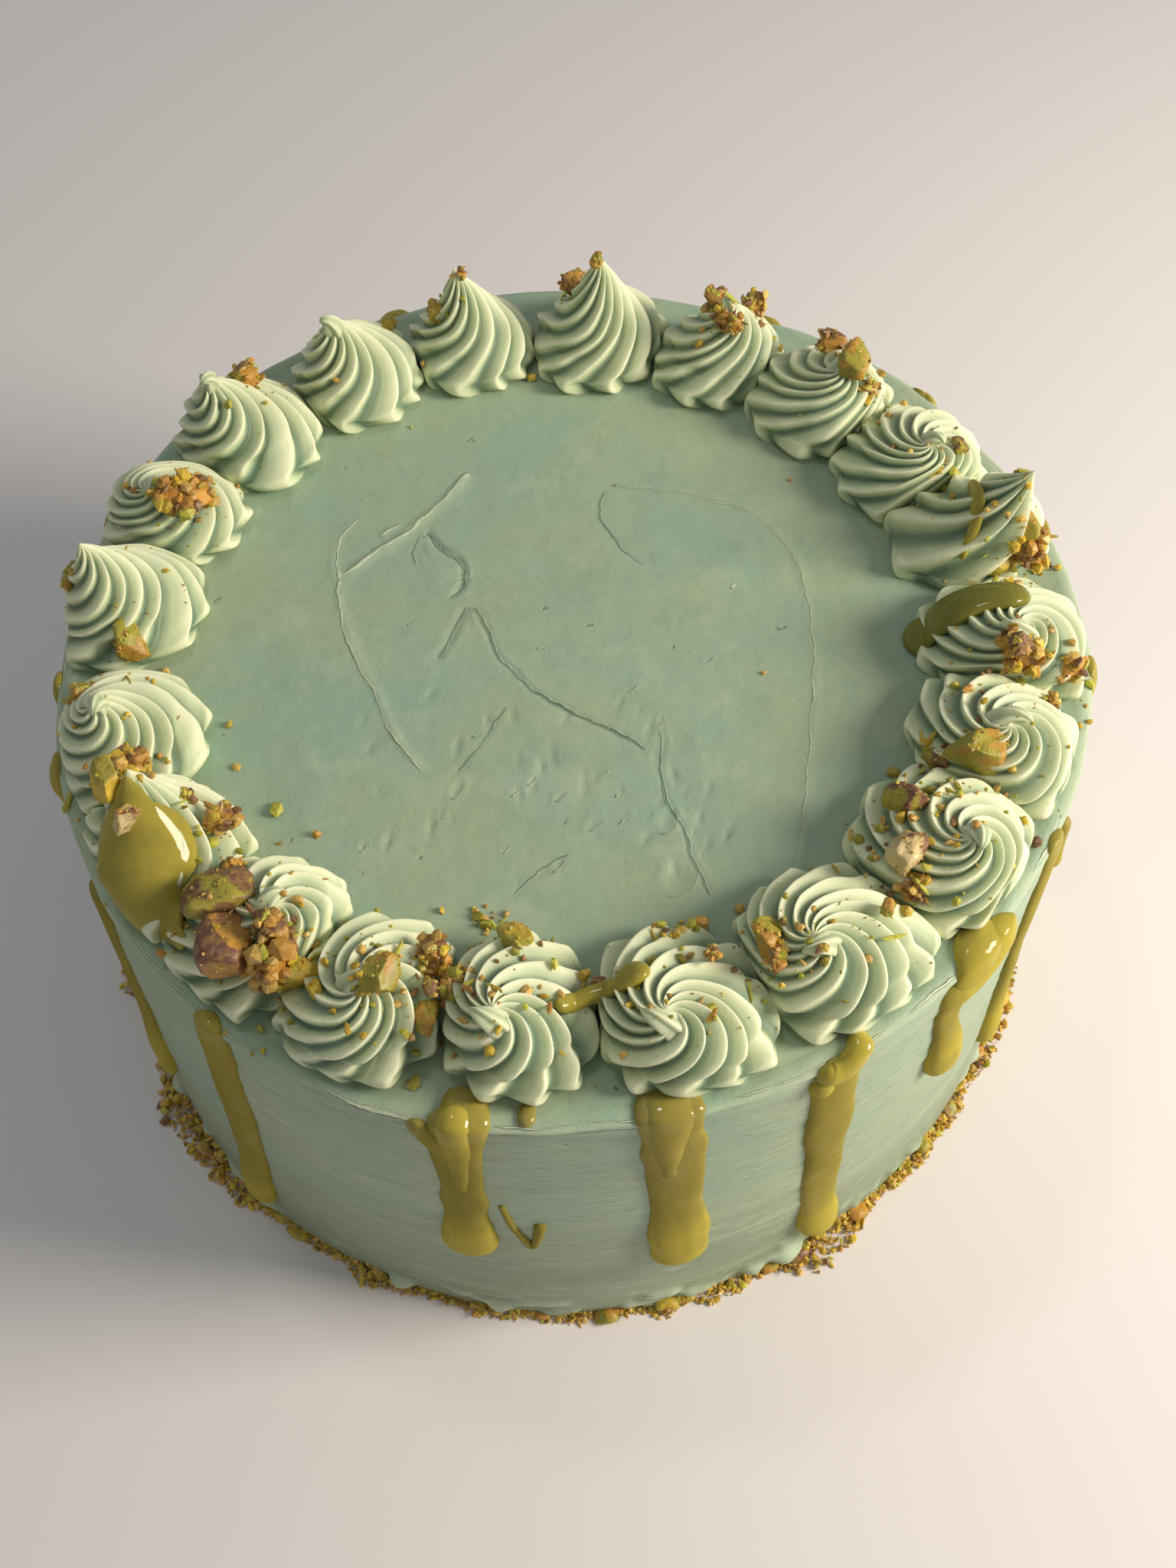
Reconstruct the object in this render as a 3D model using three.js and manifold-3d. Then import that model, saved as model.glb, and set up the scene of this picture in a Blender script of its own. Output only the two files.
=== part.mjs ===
// A tall round drip cake: smooth buttercream wall and top, twenty piped rosettes round the rim,
// pistachio cream running down the wall, chopped nuts on the rosettes and crumbs round the foot.
// Millimetres, +Z up, origin at the middle of the flat underside.
// A bearing is in degrees from +X, anticlockwise seen from above, so -90 faces the viewer.
import * as THREE from "three";
import { mergeVertices } from "three/addons/utils/BufferGeometryUtils.js";
import Module from "manifold-3d";

const wasm = await Module();
wasm.setup();

const DEGREE = Math.PI / 180;
const UP = new THREE.Vector3(0, 0, 1);

// Driving dimensions of the cake
const CAKE_RADIUS = 106.5;
const CAKE_HEIGHT = 102;
const EDGE_ROUND = 2.4; // rounding where the top meets the wall
const WALL_SIDES = 84;
const WALL_WAVE = 0.5; // how far the spatula leaves the wall from a true circle
const SLUMP = 5; // how far the top edge is drawn in on its lower side
const SLUMP_BEARING = 180 * DEGREE; // where it is drawn in most
const GAP = 0.3; // between pieces that touch
const STEP_UP = 0.2; // how far the underside of a nut, crumb or pool is above what it stands on
const SLIVER = 0.02; // edges shorter than this are closed up

// Driving dimensions of the piping
const ARMS = 12; // ridges of a rosette
const ARM_SWEEP = 118 * DEGREE; // how far a ridge turns from the peak to the foot
const RIDGE_DEPTH = 2.5;
const LOW_BODY = 13; // height of a rosette's rounded body, below its drawn-out peak
const FOOT_SHARE = 0.92; // radius of the foot as a share of the widest radius
const BELLY_RISE = 0.24; // height of the widest place as a share of the body
const PROFILE_SHARES = [0.84, 0.52, 0.22]; // radii at which the turned profile has a corner
const OVAL = 0.05; // how far a rosette's plan strays from a circle
const SQUEEZE = 3; // how softly a rosette flattens against the one beside it
const RING_MARGIN = 2.9; // the rosettes keep this far in from the rim, clear of the drips

// Each rosette: bearing, distance from the middle of the cake, radius, height,
// how far its peak leans outwards and how far it leans anticlockwise along the ring
const ROSETTES = [
  [81, 85.5, 15.5, 26.5, 0, 0],
  [62.5, 85.5, 14.5, 18, 2, -3],
  [45.5, 85.5, 16, 15, 1, -6],
  [27.5, 87.5, 16.5, 14, 0, -6],
  [13, 88, 16, 26, 8, -8],
  [-6, 90, 17, 15, 0, -5],
  [-22, 89.5, 17, 14.5, 1, -5],
  [-39.5, 88, 17.5, 15, 6, -3],
  [-59, 89, 17.5, 14.5, 1, -6],
  [-78, 88.5, 16.5, 14.5, 5, -5],
  [-96.5, 86, 15, 15.5, 6, -4],
  [-114.5, 88.5, 16, 14.5, 4, 2],
  [-130.5, 88.5, 16.5, 14.5, -3, 5],
  [-146.5, 90, 16.5, 23.5, -1, -6],
  [-165.5, 87, 16, 20, 4, 4],
  [172.5, 88.5, 16, 26, 3, 4],
  [155, 88.5, 15, 15, 1, 5],
  [137.5, 88.5, 16, 21, 4, 6],
  [118.5, 87, 15, 21, 1, 5],
  [100.5, 86, 14.5, 25, 0.5, 2.5],
].map(([bearing, reach, radius, height, leanOut, leanRound]) => ({
  bearing: bearing * DEGREE,
  reach,
  radius,
  height,
  leanOut,
  leanRound,
}));

// Each drip on the wall: bearing at the rim, how far it wanders round on its way down,
// height of its end, width at the rim, in the middle and at the end drop
const DRIPS = [
  [-166, -2, 52, 9, 7, 9],
  [-149, -1, 22, 12, 8, 10],
  [-128.5, -4, 7, 9, 7.5, 8],
  [-101.5, -1.5, 34, 13, 8.7, 9.5],
  [-82, 2, 25, 12, 11.5, 11.7],
  [-65.5, 2.5, 8, 9, 8.2, 7],
  [-49.5, 4, 40, 14, 5.2, 9],
  [-32, 1, 28, 10, 6, 8],
  [-8, 2, 46, 11, 7.5, 9],
  [13, -2, 18, 10, 8, 9.5],
  [37, 3, 58, 13, 6.5, 9.5],
  [60, 1, 30, 9, 7.5, 8.5],
  [84, -3, 12, 11, 9, 10],
  [109, 2, 44, 12, 7, 9.5],
  [133, -1, 24, 9, 8, 8.5],
  [157, 3, 36, 12, 7.5, 10],
].map(([bearing, wander, end, rimWidth, width, dropWidth]) => ({
  bearing: bearing * DEGREE,
  wander: wander * DEGREE,
  end,
  rimWidth,
  width,
  dropWidth,
}));
const DRIP_DEPTH = 3.4; // how far a drip's end drop stands off the wall
const DRIP_INSET = 2; // how far in from the rim a drip starts on the top face
const RIM_TURN = 3; // how far before and after the rim it turns over

// Thick drizzle lying on rosettes: rosette number, half width, half depth, then the start, bend and
// end of its middle line, each as distance out, distance anticlockwise round the ring, and height
const POOLS = [
  [14, 7.5, 3, [-4, -7, 19], [8, 1, 18], [8, 14, 5]],
  [6, 4.8, 3.4, [-20, -1, 3], [-12, -1, 9], [-1, 6.5, 13]],
  [11, 2.2, 1.8, [4, 5, 12], [-1, 12, 14], [-4, 17, 11]],
].map(([rosette, half, depth, ...line]) => ({ rosette, half, depth, line }));

// Chopped nuts: rosette number, distance out from its middle, distance anticlockwise round the
// ring, height above its foot, length of the piece
const NUTS = [
  [1, 7, 6.3, 12, 7],
  [2, 5, 2.6, 13.4, 8],
  [2, 8, -5, 12.2, 8],
  [2, -1.9, -2.9, 15.2, 7],
  [3, 9.5, 3.3, 9.6, 8],
  [3, 4.8, -7, 13.3, 10],
  [3, 3, -11.5, 10, 6],
  [4, -1.4, -10.7, 7.6, 7],
  [5, 7.9, -12, 5, 12],
  [5, 7.8, -9.5, 10.8, 7],
  [5, 2.4, -13, 4.4, 6],
  [6, 0, -11.6, 9.5, 11],
  [6, 10.7, -10.1, 6.4, 7],
  [7, -2.9, -11.8, 8.9, 12],
  [7, -10.1, -10.2, 4.6, 7],
  [8, -7.7, -0.9, 9.7, 8],
  [8, -1.7, -11.1, 10.7, 9],
  [8, 2.3, -13.4, 7.1, 7],
  [9, -4.5, -12.4, 11, 8],
  [9, -0.2, -13.7, 10.6, 7],
  [11, -12.5, -2, 5.5, 7],
  [11, -1.3, -11.9, 6.4, 8],
  [12, -7.9, 9.4, 7.7, 8],
  [12, 2.1, 13.4, 6.4, 7],
  [12, 1.5, 4.7, 13.9, 8],
  [12, 2.6, -10.7, 7, 8],
  [13, 4.9, 11, 8.4, 13],
  [13, 7.4, 2.4, 10.3, 12],
  [13, 0.7, -5.9, 10.9, 12],
  [13, 0.5, 7.6, 13.4, 8],
  [14, -10.5, 4, 8.5, 8],
  [14, 4.1, 1.2, 18.9, 6],
  [14, 2.5, -8.1, 19.5, 8],
  [15, -0.5, 11.8, 9, 9],
  [15, 6.8, -7.2, 9.6, 6],
  [16, -4.3, 12.7, 5.6, 9],
  [16, 10, 0, 9.5, 8],
  [17, -7.3, 3.8, 11.9, 12],
  [18, 3.9, -5.3, 12.3, 8],
  [20, 0.8, 7.4, 12.5, 7],
].map(([rosette, out, round, rise, length]) => ({ rosette, out, round, rise, length }));
const NUT_WIDTH = 0.7; // a chopped piece's width as a share of its length
const NUT_HEIGHT = 0.62;
const NUT_LIFT = 0.2; // how far its middle is above the icing, as a share of its length
const NUT_TILT = 0.9; // the range of its tip-up, in radians

// Crumbs pressed against the foot of the wall
const CRUMBS = 52;
const CRUMB_LENGTH = 6;

/** A repeatable random number from 0 to 1 for a whole number. */
function draw(seed) {
  const wave = Math.sin(seed * 127.1 + 31.7) * 43758.5453;
  return wave - Math.floor(wave);
}

/** The horizontal unit vector that points outwards at a bearing. */
function outward(bearing) {
  return new THREE.Vector3(Math.cos(bearing), Math.sin(bearing), 0);
}

/** The horizontal unit vector that runs anticlockwise round the cake at a bearing. */
function sideways(bearing) {
  return new THREE.Vector3(-Math.sin(bearing), Math.cos(bearing), 0);
}

/** Smooth step from 0 to 1 between two values. */
function ease(low, high, value) {
  return THREE.MathUtils.smoothstep(value, low, high);
}

/** Moves every vertex of a geometry: place changes the vector that it is given. */
function reshape(geometry, place) {
  const position = geometry.attributes.position;
  const vertex = new THREE.Vector3();
  for (let i = 0; i < position.count; i++) {
    vertex.fromBufferAttribute(position, i);
    place(vertex, i);
    position.setXYZ(i, vertex.x, vertex.y, vertex.z);
  }
  return geometry;
}

/** A closed geometry as a manifold solid. */
function solid(geometry) {
  geometry.deleteAttribute("normal");
  geometry.deleteAttribute("uv");
  const merged = mergeVertices(geometry, 1e-3);
  return new wasm.Manifold(
    new wasm.Mesh({
      numProp: 3,
      vertProperties: merged.attributes.position.array,
      triVerts: new Uint32Array(merged.index.array),
    }),
  );
}

/** The largest body of a solid, with slivers evened out and loose scraps dropped. */
function largest(shape) {
  const bodies = shape.simplify(SLIVER).decompose();
  return bodies.reduce((a, b) => (b.volume() > a.volume() ? b : a));
}

/** A manifold solid as a named mesh with its own finish. */
function piece(name, shape, colour, roughness) {
  const { vertProperties, triVerts } = shape.getMesh();
  const geometry = new THREE.BufferGeometry()
    .setAttribute("position", new THREE.BufferAttribute(vertProperties, 3))
    .setIndex(new THREE.BufferAttribute(triVerts, 1));
  geometry.computeVertexNormals();
  const material = new THREE.MeshStandardMaterial({ color: colour, roughness, metalness: 0 });
  const mesh = new THREE.Mesh(geometry, material);
  mesh.name = name;
  return mesh;
}

/** How far the wall stands from a true circle at a bearing and height. */
function wallWave(bearing, height) {
  const up = height / CAKE_HEIGHT;
  const slump = SLUMP * up * Math.pow(Math.max(0, Math.cos(bearing - SLUMP_BEARING)), 3);
  return WALL_WAVE * (Math.sin(3 * bearing + 0.7) + 0.6 * Math.sin(7 * bearing + 2.5 * up)) - slump;
}

/** The iced cake: a turned profile with a faintly uneven wall. */
function cake() {
  const profile = [
    [0, 0],
    [CAKE_RADIUS, 0],
    [CAKE_RADIUS, 0.5 * CAKE_HEIGHT],
    [CAKE_RADIUS, CAKE_HEIGHT - EDGE_ROUND],
    [CAKE_RADIUS - 0.3 * EDGE_ROUND, CAKE_HEIGHT - 0.3 * EDGE_ROUND],
    [CAKE_RADIUS - EDGE_ROUND, CAKE_HEIGHT],
    [0, CAKE_HEIGHT],
  ].map(([radius, height]) => new THREE.Vector2(radius, height));
  const lathe = new THREE.LatheGeometry(profile, WALL_SIDES).rotateX(Math.PI / 2);
  return solid(
    reshape(lathe, (v) => {
      const share = Math.hypot(v.x, v.y) / CAKE_RADIUS;
      const move = 1 + (share * wallWave(Math.atan2(v.y, v.x), v.z)) / CAKE_RADIUS;
      v.x *= move;
      v.y *= move;
    }),
  );
}

/**
 * A drip: a sphere drawn out along a path that starts on the top face, turns over the rim and runs
 * down the wall. Each ring of the sphere is an ellipse across the path, wide at the rim and at the
 * end. Its inner half is kept shallow, so that it sinks only a little way into the icing.
 */
function drip({ bearing, wander, end, rimWidth, width, dropWidth }) {
  const drop = CAKE_HEIGHT - end;
  const run = DRIP_INSET + drop;
  const sphere = new THREE.SphereGeometry(1, 8, 8).rotateX(Math.PI / 2);
  return solid(
    reshape(sphere, (v) => {
      const share = (1 - v.z) / 2;
      const ring = Math.min(1, 1.5 * Math.hypot(v.x, v.y));
      const turn = Math.atan2(v.y, v.x);
      const travelled = share * run;
      const past = Math.max(0, travelled - DRIP_INSET);
      const bend = ease(DRIP_INSET - RIM_TURN, DRIP_INSET + RIM_TURN, travelled);
      const down = past / drop;
      const angle = bearing + wander * down;
      const atRim = 1 - ease(0, 0.22, down);
      const atEnd = ease(0.72, 0.93, down);
      const half = 0.5 * (width + (rimWidth - width) * atRim + (dropWidth - width) * atEnd);
      const depth = DRIP_DEPTH * (0.68 + 0.32 * atEnd) * ring * Math.sin(turn);
      const proud = depth > 0 ? depth : 0.35 * depth;
      const wall = CAKE_RADIUS + wallWave(angle, CAKE_HEIGHT - past) - 0.3;
      const inset = Math.max(0, DRIP_INSET - travelled);
      v.copy(outward(angle)).multiplyScalar(wall - inset + proud * bend);
      v.addScaledVector(sideways(angle), -half * ring * Math.cos(turn));
      v.z = CAKE_HEIGHT - 0.3 - past + proud * (1 - bend);
    }),
  );
}

/** A crumb or chopped nut: a faceted lump with its corners pushed in and out. */
function lump(seed, length, width, height) {
  const raw = new THREE.IcosahedronGeometry(1, 0);
  raw.deleteAttribute("normal");
  raw.deleteAttribute("uv");
  return reshape(mergeVertices(raw, 1e-3), (v, i) => {
    v.multiplyScalar(0.8 + 0.4 * draw(seed * 17 + i));
    v.set((v.x * length) / 2, (v.y * width) / 2, (v.z * height) / 2);
  });
}

/** Crumbs round the foot of the wall, pressed into it, with their undersides just above its own. */
function crumbs() {
  const heaped = [];
  for (let i = 0; i < CRUMBS; i++) {
    const bearing = ((i + 0.7 * (draw(i) - 0.5)) / CRUMBS) * 2 * Math.PI;
    const size = CRUMB_LENGTH * (0.75 + 0.5 * draw(i + 200));
    const height = size * (0.55 + 0.25 * draw(i + 300));
    const reach = CAKE_RADIUS + wallWave(bearing, 0) + 0.18 * size;
    const place = outward(bearing).multiplyScalar(reach);
    const crumb = lump(i + 400, 1.25 * size, size, height).rotateZ(bearing + Math.PI / 2);
    crumb.translate(place.x, place.y, 0.4 * height);
    reshape(crumb, (v) => {
      v.z = Math.max(v.z, STEP_UP);
    });
    heaped.push(solid(crumb));
  }
  return heaped;
}

/** Where the middle of a rosette's foot is. */
function footOf({ bearing, reach }) {
  return outward(bearing)
    .multiplyScalar(reach)
    .setZ(CAKE_HEIGHT + GAP);
}

/** How much of a distance past the start of a squeeze is left: it tends to SQUEEZE. */
function softened(over) {
  return SQUEEZE * (1 - Math.exp(-over / SQUEEZE));
}

/**
 * Keeps a vertex of rosette k on its own side of the two upright planes between it and its
 * neighbours, and inside the ring's outer limit, each with a soft approach that flattens the side.
 */
function squeeze(v, k) {
  const count = ROSETTES.length;
  const own = footOf(ROSETTES[k]);
  for (const step of [1, count - 1]) {
    const other = ROSETTES[(k + step) % count];
    const across = footOf(other).sub(own);
    const share = ROSETTES[k].radius / (ROSETTES[k].radius + other.radius);
    const start = across.length() * share - GAP / 2 - SQUEEZE;
    const towards = across.normalize();
    const over = v.clone().sub(own).dot(towards) - start;
    if (over > 0) v.addScaledVector(towards, softened(over) - over);
  }
  const reach = Math.hypot(v.x, v.y);
  const rim = CAKE_RADIUS + wallWave(Math.atan2(v.y, v.x), CAKE_HEIGHT);
  const beyond = reach - (rim - RING_MARGIN - SQUEEZE);
  if (beyond > 0) {
    const kept = (reach - beyond + softened(beyond)) / reach;
    v.x *= kept;
    v.y *= kept;
  }
}

/** Height of a rosette's surface at a share of its radius: a rounded body with a drawn-out peak. */
function rise(share, height) {
  const body = Math.min(LOW_BODY, height) * Math.pow(1 - Math.pow(share, 2.4), 0.62);
  const peak = Math.max(0, height - LOW_BODY) * Math.pow(Math.max(0, 1 - share / 0.6), 1.4);
  return body + peak;
}

/**
 * A piped rosette: a turned profile with one crest and one valley for each arm. The arms turn
 * clockwise on their way out, by the arccosine of the share of the radius, so that they meet the
 * foot almost along its edge.
 */
function rosette(k) {
  const { bearing, radius, height, leanOut, leanRound } = ROSETTES[k];
  const profile = [
    [0, 0],
    [FOOT_SHARE, 0],
    [1, BELLY_RISE * LOW_BODY],
    ...PROFILE_SHARES.map((share) => [share, rise(share, height)]),
    [0, height],
  ].map(([share, z]) => new THREE.Vector2(share * radius, z));
  const last = profile.length - 1;
  const sides = 2 * ARMS;
  const lathe = new THREE.LatheGeometry(profile, sides).rotateX(Math.PI / 2);
  const foot = footOf(ROSETTES[k]);
  return solid(
    reshape(lathe, (v, i) => {
      const ring = i % profile.length;
      const pole = ring === 0 || ring === last;
      const { x: out, y: z } = profile[ring];
      const before = profile[Math.max(0, ring - 1)];
      const after = profile[Math.min(last, ring + 1)];
      const facing = new THREE.Vector2(after.y - before.y, before.x - after.x).normalize();
      const spacing = (2 * Math.PI * out) / ARMS;
      const side = Math.floor(i / profile.length) % sides;
      const relief = (side % 2 ? -0.5 : 0.5) * Math.min(RIDGE_DEPTH, 0.4 * spacing);
      const sweep = ARM_SWEEP * (1 - (2 * Math.acos(Math.min(1, out / radius))) / Math.PI);
      const turn = Math.atan2(v.y, v.x) - sweep + k;
      const uneven = 1 + OVAL * Math.sin(2 * turn + 1.7 * k);
      const lean = Math.pow(z / height, 1.3);
      v.copy(foot).addScaledVector(UP, z + (ring > 1 && !pole ? relief * facing.y : 0));
      v.addScaledVector(outward(bearing), lean * leanOut);
      v.addScaledVector(sideways(bearing), lean * leanRound);
      if (!pole) v.addScaledVector(outward(turn), out * uneven + relief * facing.x);
      squeeze(v, k);
    }),
  );
}

/** Turns a rosette's own coordinates to its place in the ring, clear of what lies beside and below. */
function ontoRosette(geometry, k) {
  const foot = footOf(ROSETTES[k]);
  geometry.rotateZ(ROSETTES[k].bearing).translate(foot.x, foot.y, foot.z);
  return reshape(geometry, (v) => {
    squeeze(v, k);
    v.z = Math.max(v.z, foot.z + STEP_UP);
  });
}

/** A pool of drizzle: a sphere drawn out along a bent line, each ring a flat ellipse across it. */
function pool({ half, depth, line }) {
  const [start, bend, end] = line.map((place) => new THREE.Vector3(...place));
  const path = new THREE.QuadraticBezierCurve3(start, bend, end);
  const sphere = new THREE.SphereGeometry(1, 8, 8).rotateX(Math.PI / 2);
  return reshape(sphere, (v) => {
    const share = (1 - v.z) / 2;
    const ring = Math.min(1, 1.4 * Math.hypot(v.x, v.y));
    const turn = Math.atan2(v.y, v.x);
    const along = path.getTangent(share);
    const across = new THREE.Vector3().crossVectors(along, UP).normalize();
    const above = new THREE.Vector3().crossVectors(across, along);
    v.copy(path.getPoint(share));
    v.addScaledVector(across, half * ring * Math.cos(turn));
    v.addScaledVector(above, depth * ring * Math.sin(turn));
  });
}

/** A rosette with the nuts and the thick drizzle that lie on it. */
function dressedRosette(k) {
  let whole = rosette(k);
  for (const one of POOLS) {
    if (one.rosette === k + 1) whole = whole.add(solid(ontoRosette(pool(one), k)));
  }
  NUTS.forEach(({ rosette: on, out, round, rise: up, length }, i) => {
    if (on !== k + 1) return;
    const nut = lump(i, length, NUT_WIDTH * length, NUT_HEIGHT * length)
      .rotateY((draw(i + 50) - 0.5) * NUT_TILT)
      .rotateZ(draw(i + 90) * Math.PI)
      .translate(out, round, up + NUT_LIFT * length);
    whole = whole.add(solid(ontoRosette(nut, k)));
  });
  return largest(whole);
}

const dripCake = new THREE.Group();

let iced = cake();
for (const one of DRIPS) iced = iced.add(drip(one));
for (const crumb of crumbs()) iced = iced.add(crumb);
dripCake.add(piece("cake_body", largest(iced), 0xa3b89c, 0.62));

ROSETTES.forEach((_, k) => {
  const name = "rosette_" + String(k + 1).padStart(2, "0");
  dripCake.add(piece(name, dressedRosette(k), 0xc6d3b4, 0.5));
});

export default dripCake;
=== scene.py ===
# %% [markdown]
# A tall round drip cake, dressed for its portrait. The packed solids give every place and size: a
# plain iced drum and twenty faceted rosettes. This lesson makes the surfaces that a few flat faces
# can't hold: spatula marks, fine piped ridges, glossy runs of pistachio cream, nuts and crumbs.
# Each piece is a formula on a grid of points, worked out with numpy in millimetres, and then
# written into a mesh in metres, in the same frame as the solids.

# %% Open the packed cake
import math
from itertools import combinations

import bpy
import numpy as np
from mathutils import Matrix, Vector
from mathutils.bvhtree import BVHTree


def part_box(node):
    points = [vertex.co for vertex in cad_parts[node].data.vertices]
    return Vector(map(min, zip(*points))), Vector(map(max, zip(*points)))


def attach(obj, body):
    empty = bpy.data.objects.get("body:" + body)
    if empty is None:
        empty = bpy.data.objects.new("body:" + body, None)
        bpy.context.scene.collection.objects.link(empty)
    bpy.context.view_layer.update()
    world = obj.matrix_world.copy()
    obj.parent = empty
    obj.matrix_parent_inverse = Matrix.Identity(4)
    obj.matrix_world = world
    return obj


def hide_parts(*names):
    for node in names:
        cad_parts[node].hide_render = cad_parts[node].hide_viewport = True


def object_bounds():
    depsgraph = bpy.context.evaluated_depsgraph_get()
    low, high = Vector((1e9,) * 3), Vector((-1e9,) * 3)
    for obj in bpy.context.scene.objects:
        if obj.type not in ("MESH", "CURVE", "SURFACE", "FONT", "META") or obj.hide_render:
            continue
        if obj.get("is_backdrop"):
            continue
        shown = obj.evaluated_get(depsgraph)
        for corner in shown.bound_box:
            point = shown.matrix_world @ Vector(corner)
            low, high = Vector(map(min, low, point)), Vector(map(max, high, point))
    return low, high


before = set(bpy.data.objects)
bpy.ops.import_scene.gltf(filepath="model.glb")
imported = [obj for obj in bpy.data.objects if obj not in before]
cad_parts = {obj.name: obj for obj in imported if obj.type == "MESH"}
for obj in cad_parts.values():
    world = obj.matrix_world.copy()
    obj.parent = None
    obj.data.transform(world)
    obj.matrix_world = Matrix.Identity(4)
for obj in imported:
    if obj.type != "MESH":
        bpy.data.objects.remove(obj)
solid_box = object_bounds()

solid_corners = [round(1000 * x) for x in (*solid_box[0], *solid_box[1])]
print("solids:", len(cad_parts), "box in mm:", solid_corners)

# %% [markdown]
# The named sizes come first. They are the same driving dimensions as the solids have, in
# millimetres, so that a fine piece lies exactly where its faceted one does.

# %% Sizes of the cake
MM = 0.001
CAKE_RADIUS = 106.5
CAKE_HEIGHT = 102.0
WALL_WAVE = 0.5  # how far the spatula leaves the wall from a true circle
SLUMP = 5.0  # how far the top edge is drawn in on its lower side
SLUMP_BEARING = math.pi  # where it is drawn in most
TURN = 2 * math.pi
UP = np.array([0.0, 0.0, 1.0])
cake_top = 1000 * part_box("rosette_03")[0].z
print("rosettes stand at", round(cake_top, 2), "mm, the cake is", CAKE_HEIGHT, "mm tall")

# %% [markdown]
# Nothing on a cake is quite regular. Two kinds of chance are used here: a repeatable draw for a
# whole number, which places and turns things, and a soft cloud of values in space, which makes
# surfaces uneven. Both are formulas without a stored state, so that each run gives the same cake.


# %% Repeatable chance
def draw(seed):
    """The fraction of a large sine of the seed: a number from 0 to 1 for each whole number."""
    wave = np.sin(np.asarray(seed, float) * 127.1 + 31.7) * 43758.5453
    return wave - np.floor(wave)


def draws(count, first=0):
    """Draws for so many whole numbers in a row."""
    return draw(np.arange(count) + first)


def cloud(points, size, seed=0):
    """From -1 to 1: draws at the corners of cubes of one size, blended by smooth steps between."""
    scaled = points / np.asarray(size, float)
    cell = np.floor(scaled)
    part = scaled - cell
    part = part * part * (3 - 2 * part)
    total = np.zeros(points.shape[:-1])
    for corner in range(8):
        step = np.array([corner & 1, corner >> 1 & 1, corner >> 2])
        share = np.prod(np.where(step, part, 1 - part), axis=-1)
        mix = (cell + step) @ np.array([12.9898, 78.233, 37.719]) + 17.31 * seed
        wave = np.sin(mix) * 43758.5453
        total = total + share * (wave - np.floor(wave))
    return 2 * total - 1


def clouds(points, size, seed=0, layers=3):
    """Several clouds added up, each half as coarse and half as strong as the one before."""
    size = np.asarray(size, float)
    return sum(cloud(points, size / 2**i, seed + i) / 2**i for i in range(layers))


def ease(low, high, value):
    """Smooth step from 0 to 1 between two values: three squares less two cubes of the share."""
    share = np.clip((value - low) / (high - low), 0, 1)
    return share * share * (3 - 2 * share)


print("draws:", draws(4).round(3))

# %% [markdown]
# A camera is three directions and a place. The photograph was taken from above the front edge,
# looking down steeply, and turned a little. The lens is given by its focal length in pixels of
# the photograph's own height, which a sensor of 36 mm turns into millimetres.

# %% The camera
PITCH, YAW, ROLL = (math.radians(a) for a in (56.02, 1.35, -2.01))
CAMERA_PLACE = np.array([0.0, -217.15, 369.98])
FOCAL_PIXELS, PHOTO_HEIGHT, SENSOR = 2200, 2048, 36


def put_in_scene(name, data):
    """A new object that shows a mesh, a lamp or a camera, linked into the scene."""
    item = bpy.data.objects.new(name, data)
    bpy.context.scene.collection.objects.link(item)
    return item


ahead = np.array([math.sin(YAW) * math.cos(PITCH), math.cos(YAW) * math.cos(PITCH), -math.sin(PITCH)])
level = np.cross(ahead, UP)
level /= np.linalg.norm(level)
upright = np.cross(level, ahead)
rightward = level * math.cos(ROLL) + upright * math.sin(ROLL)
topward = upright * math.cos(ROLL) - level * math.sin(ROLL)

lens = bpy.data.cameras.new("portrait_lens")
lens.sensor_width = SENSOR
lens.lens = FOCAL_PIXELS * SENSOR / PHOTO_HEIGHT
camera = put_in_scene("portrait_camera", lens)
axes = np.column_stack([rightward, topward, -ahead])
camera.matrix_world = Matrix.Translation(Vector(CAMERA_PLACE * MM)) @ Matrix(axes.tolist()).to_4x4()
bpy.context.scene.camera = camera
print("lens:", round(lens.lens, 2), "mm")

# %% [markdown]
# The light is what a cake is photographed in: a soft lamp, high on the right, and a pale room that
# fills the shadows. A second, weak lamp behind the cake is small, as a far window is, and leaves
# crisp glints on the wet cream.


# %% Light
def soft_lamp(name, place, size, power, colour):
    """A square lamp at a place in metres, turned to face the middle of the cake's top."""
    light = bpy.data.lights.new(name, "AREA")
    light.size = size
    light.energy = power
    light.color = colour
    aim = Vector((0, 0, CAKE_HEIGHT * MM)) - Vector(place)
    facing = aim.to_track_quat("-Z", "Y").to_matrix().to_4x4()
    put_in_scene(name, light).matrix_world = Matrix.Translation(Vector(place)) @ facing


soft_lamp("key_lamp", (0.72, -0.16, 0.46), 0.30, 8.0, (1.0, 0.92, 0.79))
soft_lamp("window_glint", (-0.25, 0.25, 1.3), 0.14, 1.0, (0.95, 0.98, 1.0))

world = bpy.data.worlds.new("pale_room")
world.use_nodes = True
room = world.node_tree.nodes["Background"]
room.inputs["Color"].default_value = (0.94, 0.98, 1.0, 1)
room.inputs["Strength"].default_value = 0.27
bpy.context.scene.world = world
bpy.context.scene.view_settings.view_transform = "Standard"

# %% [markdown]
# Shader graphs get long when every sum is a node that is placed and wired by hand. A small class
# wraps a socket, so that arithmetic on it adds the Math nodes by itself, and a material is then
# written as a few expressions. Numbers that are the same everywhere stay on the shader's own
# sockets, because only patterns need nodes.


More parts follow.
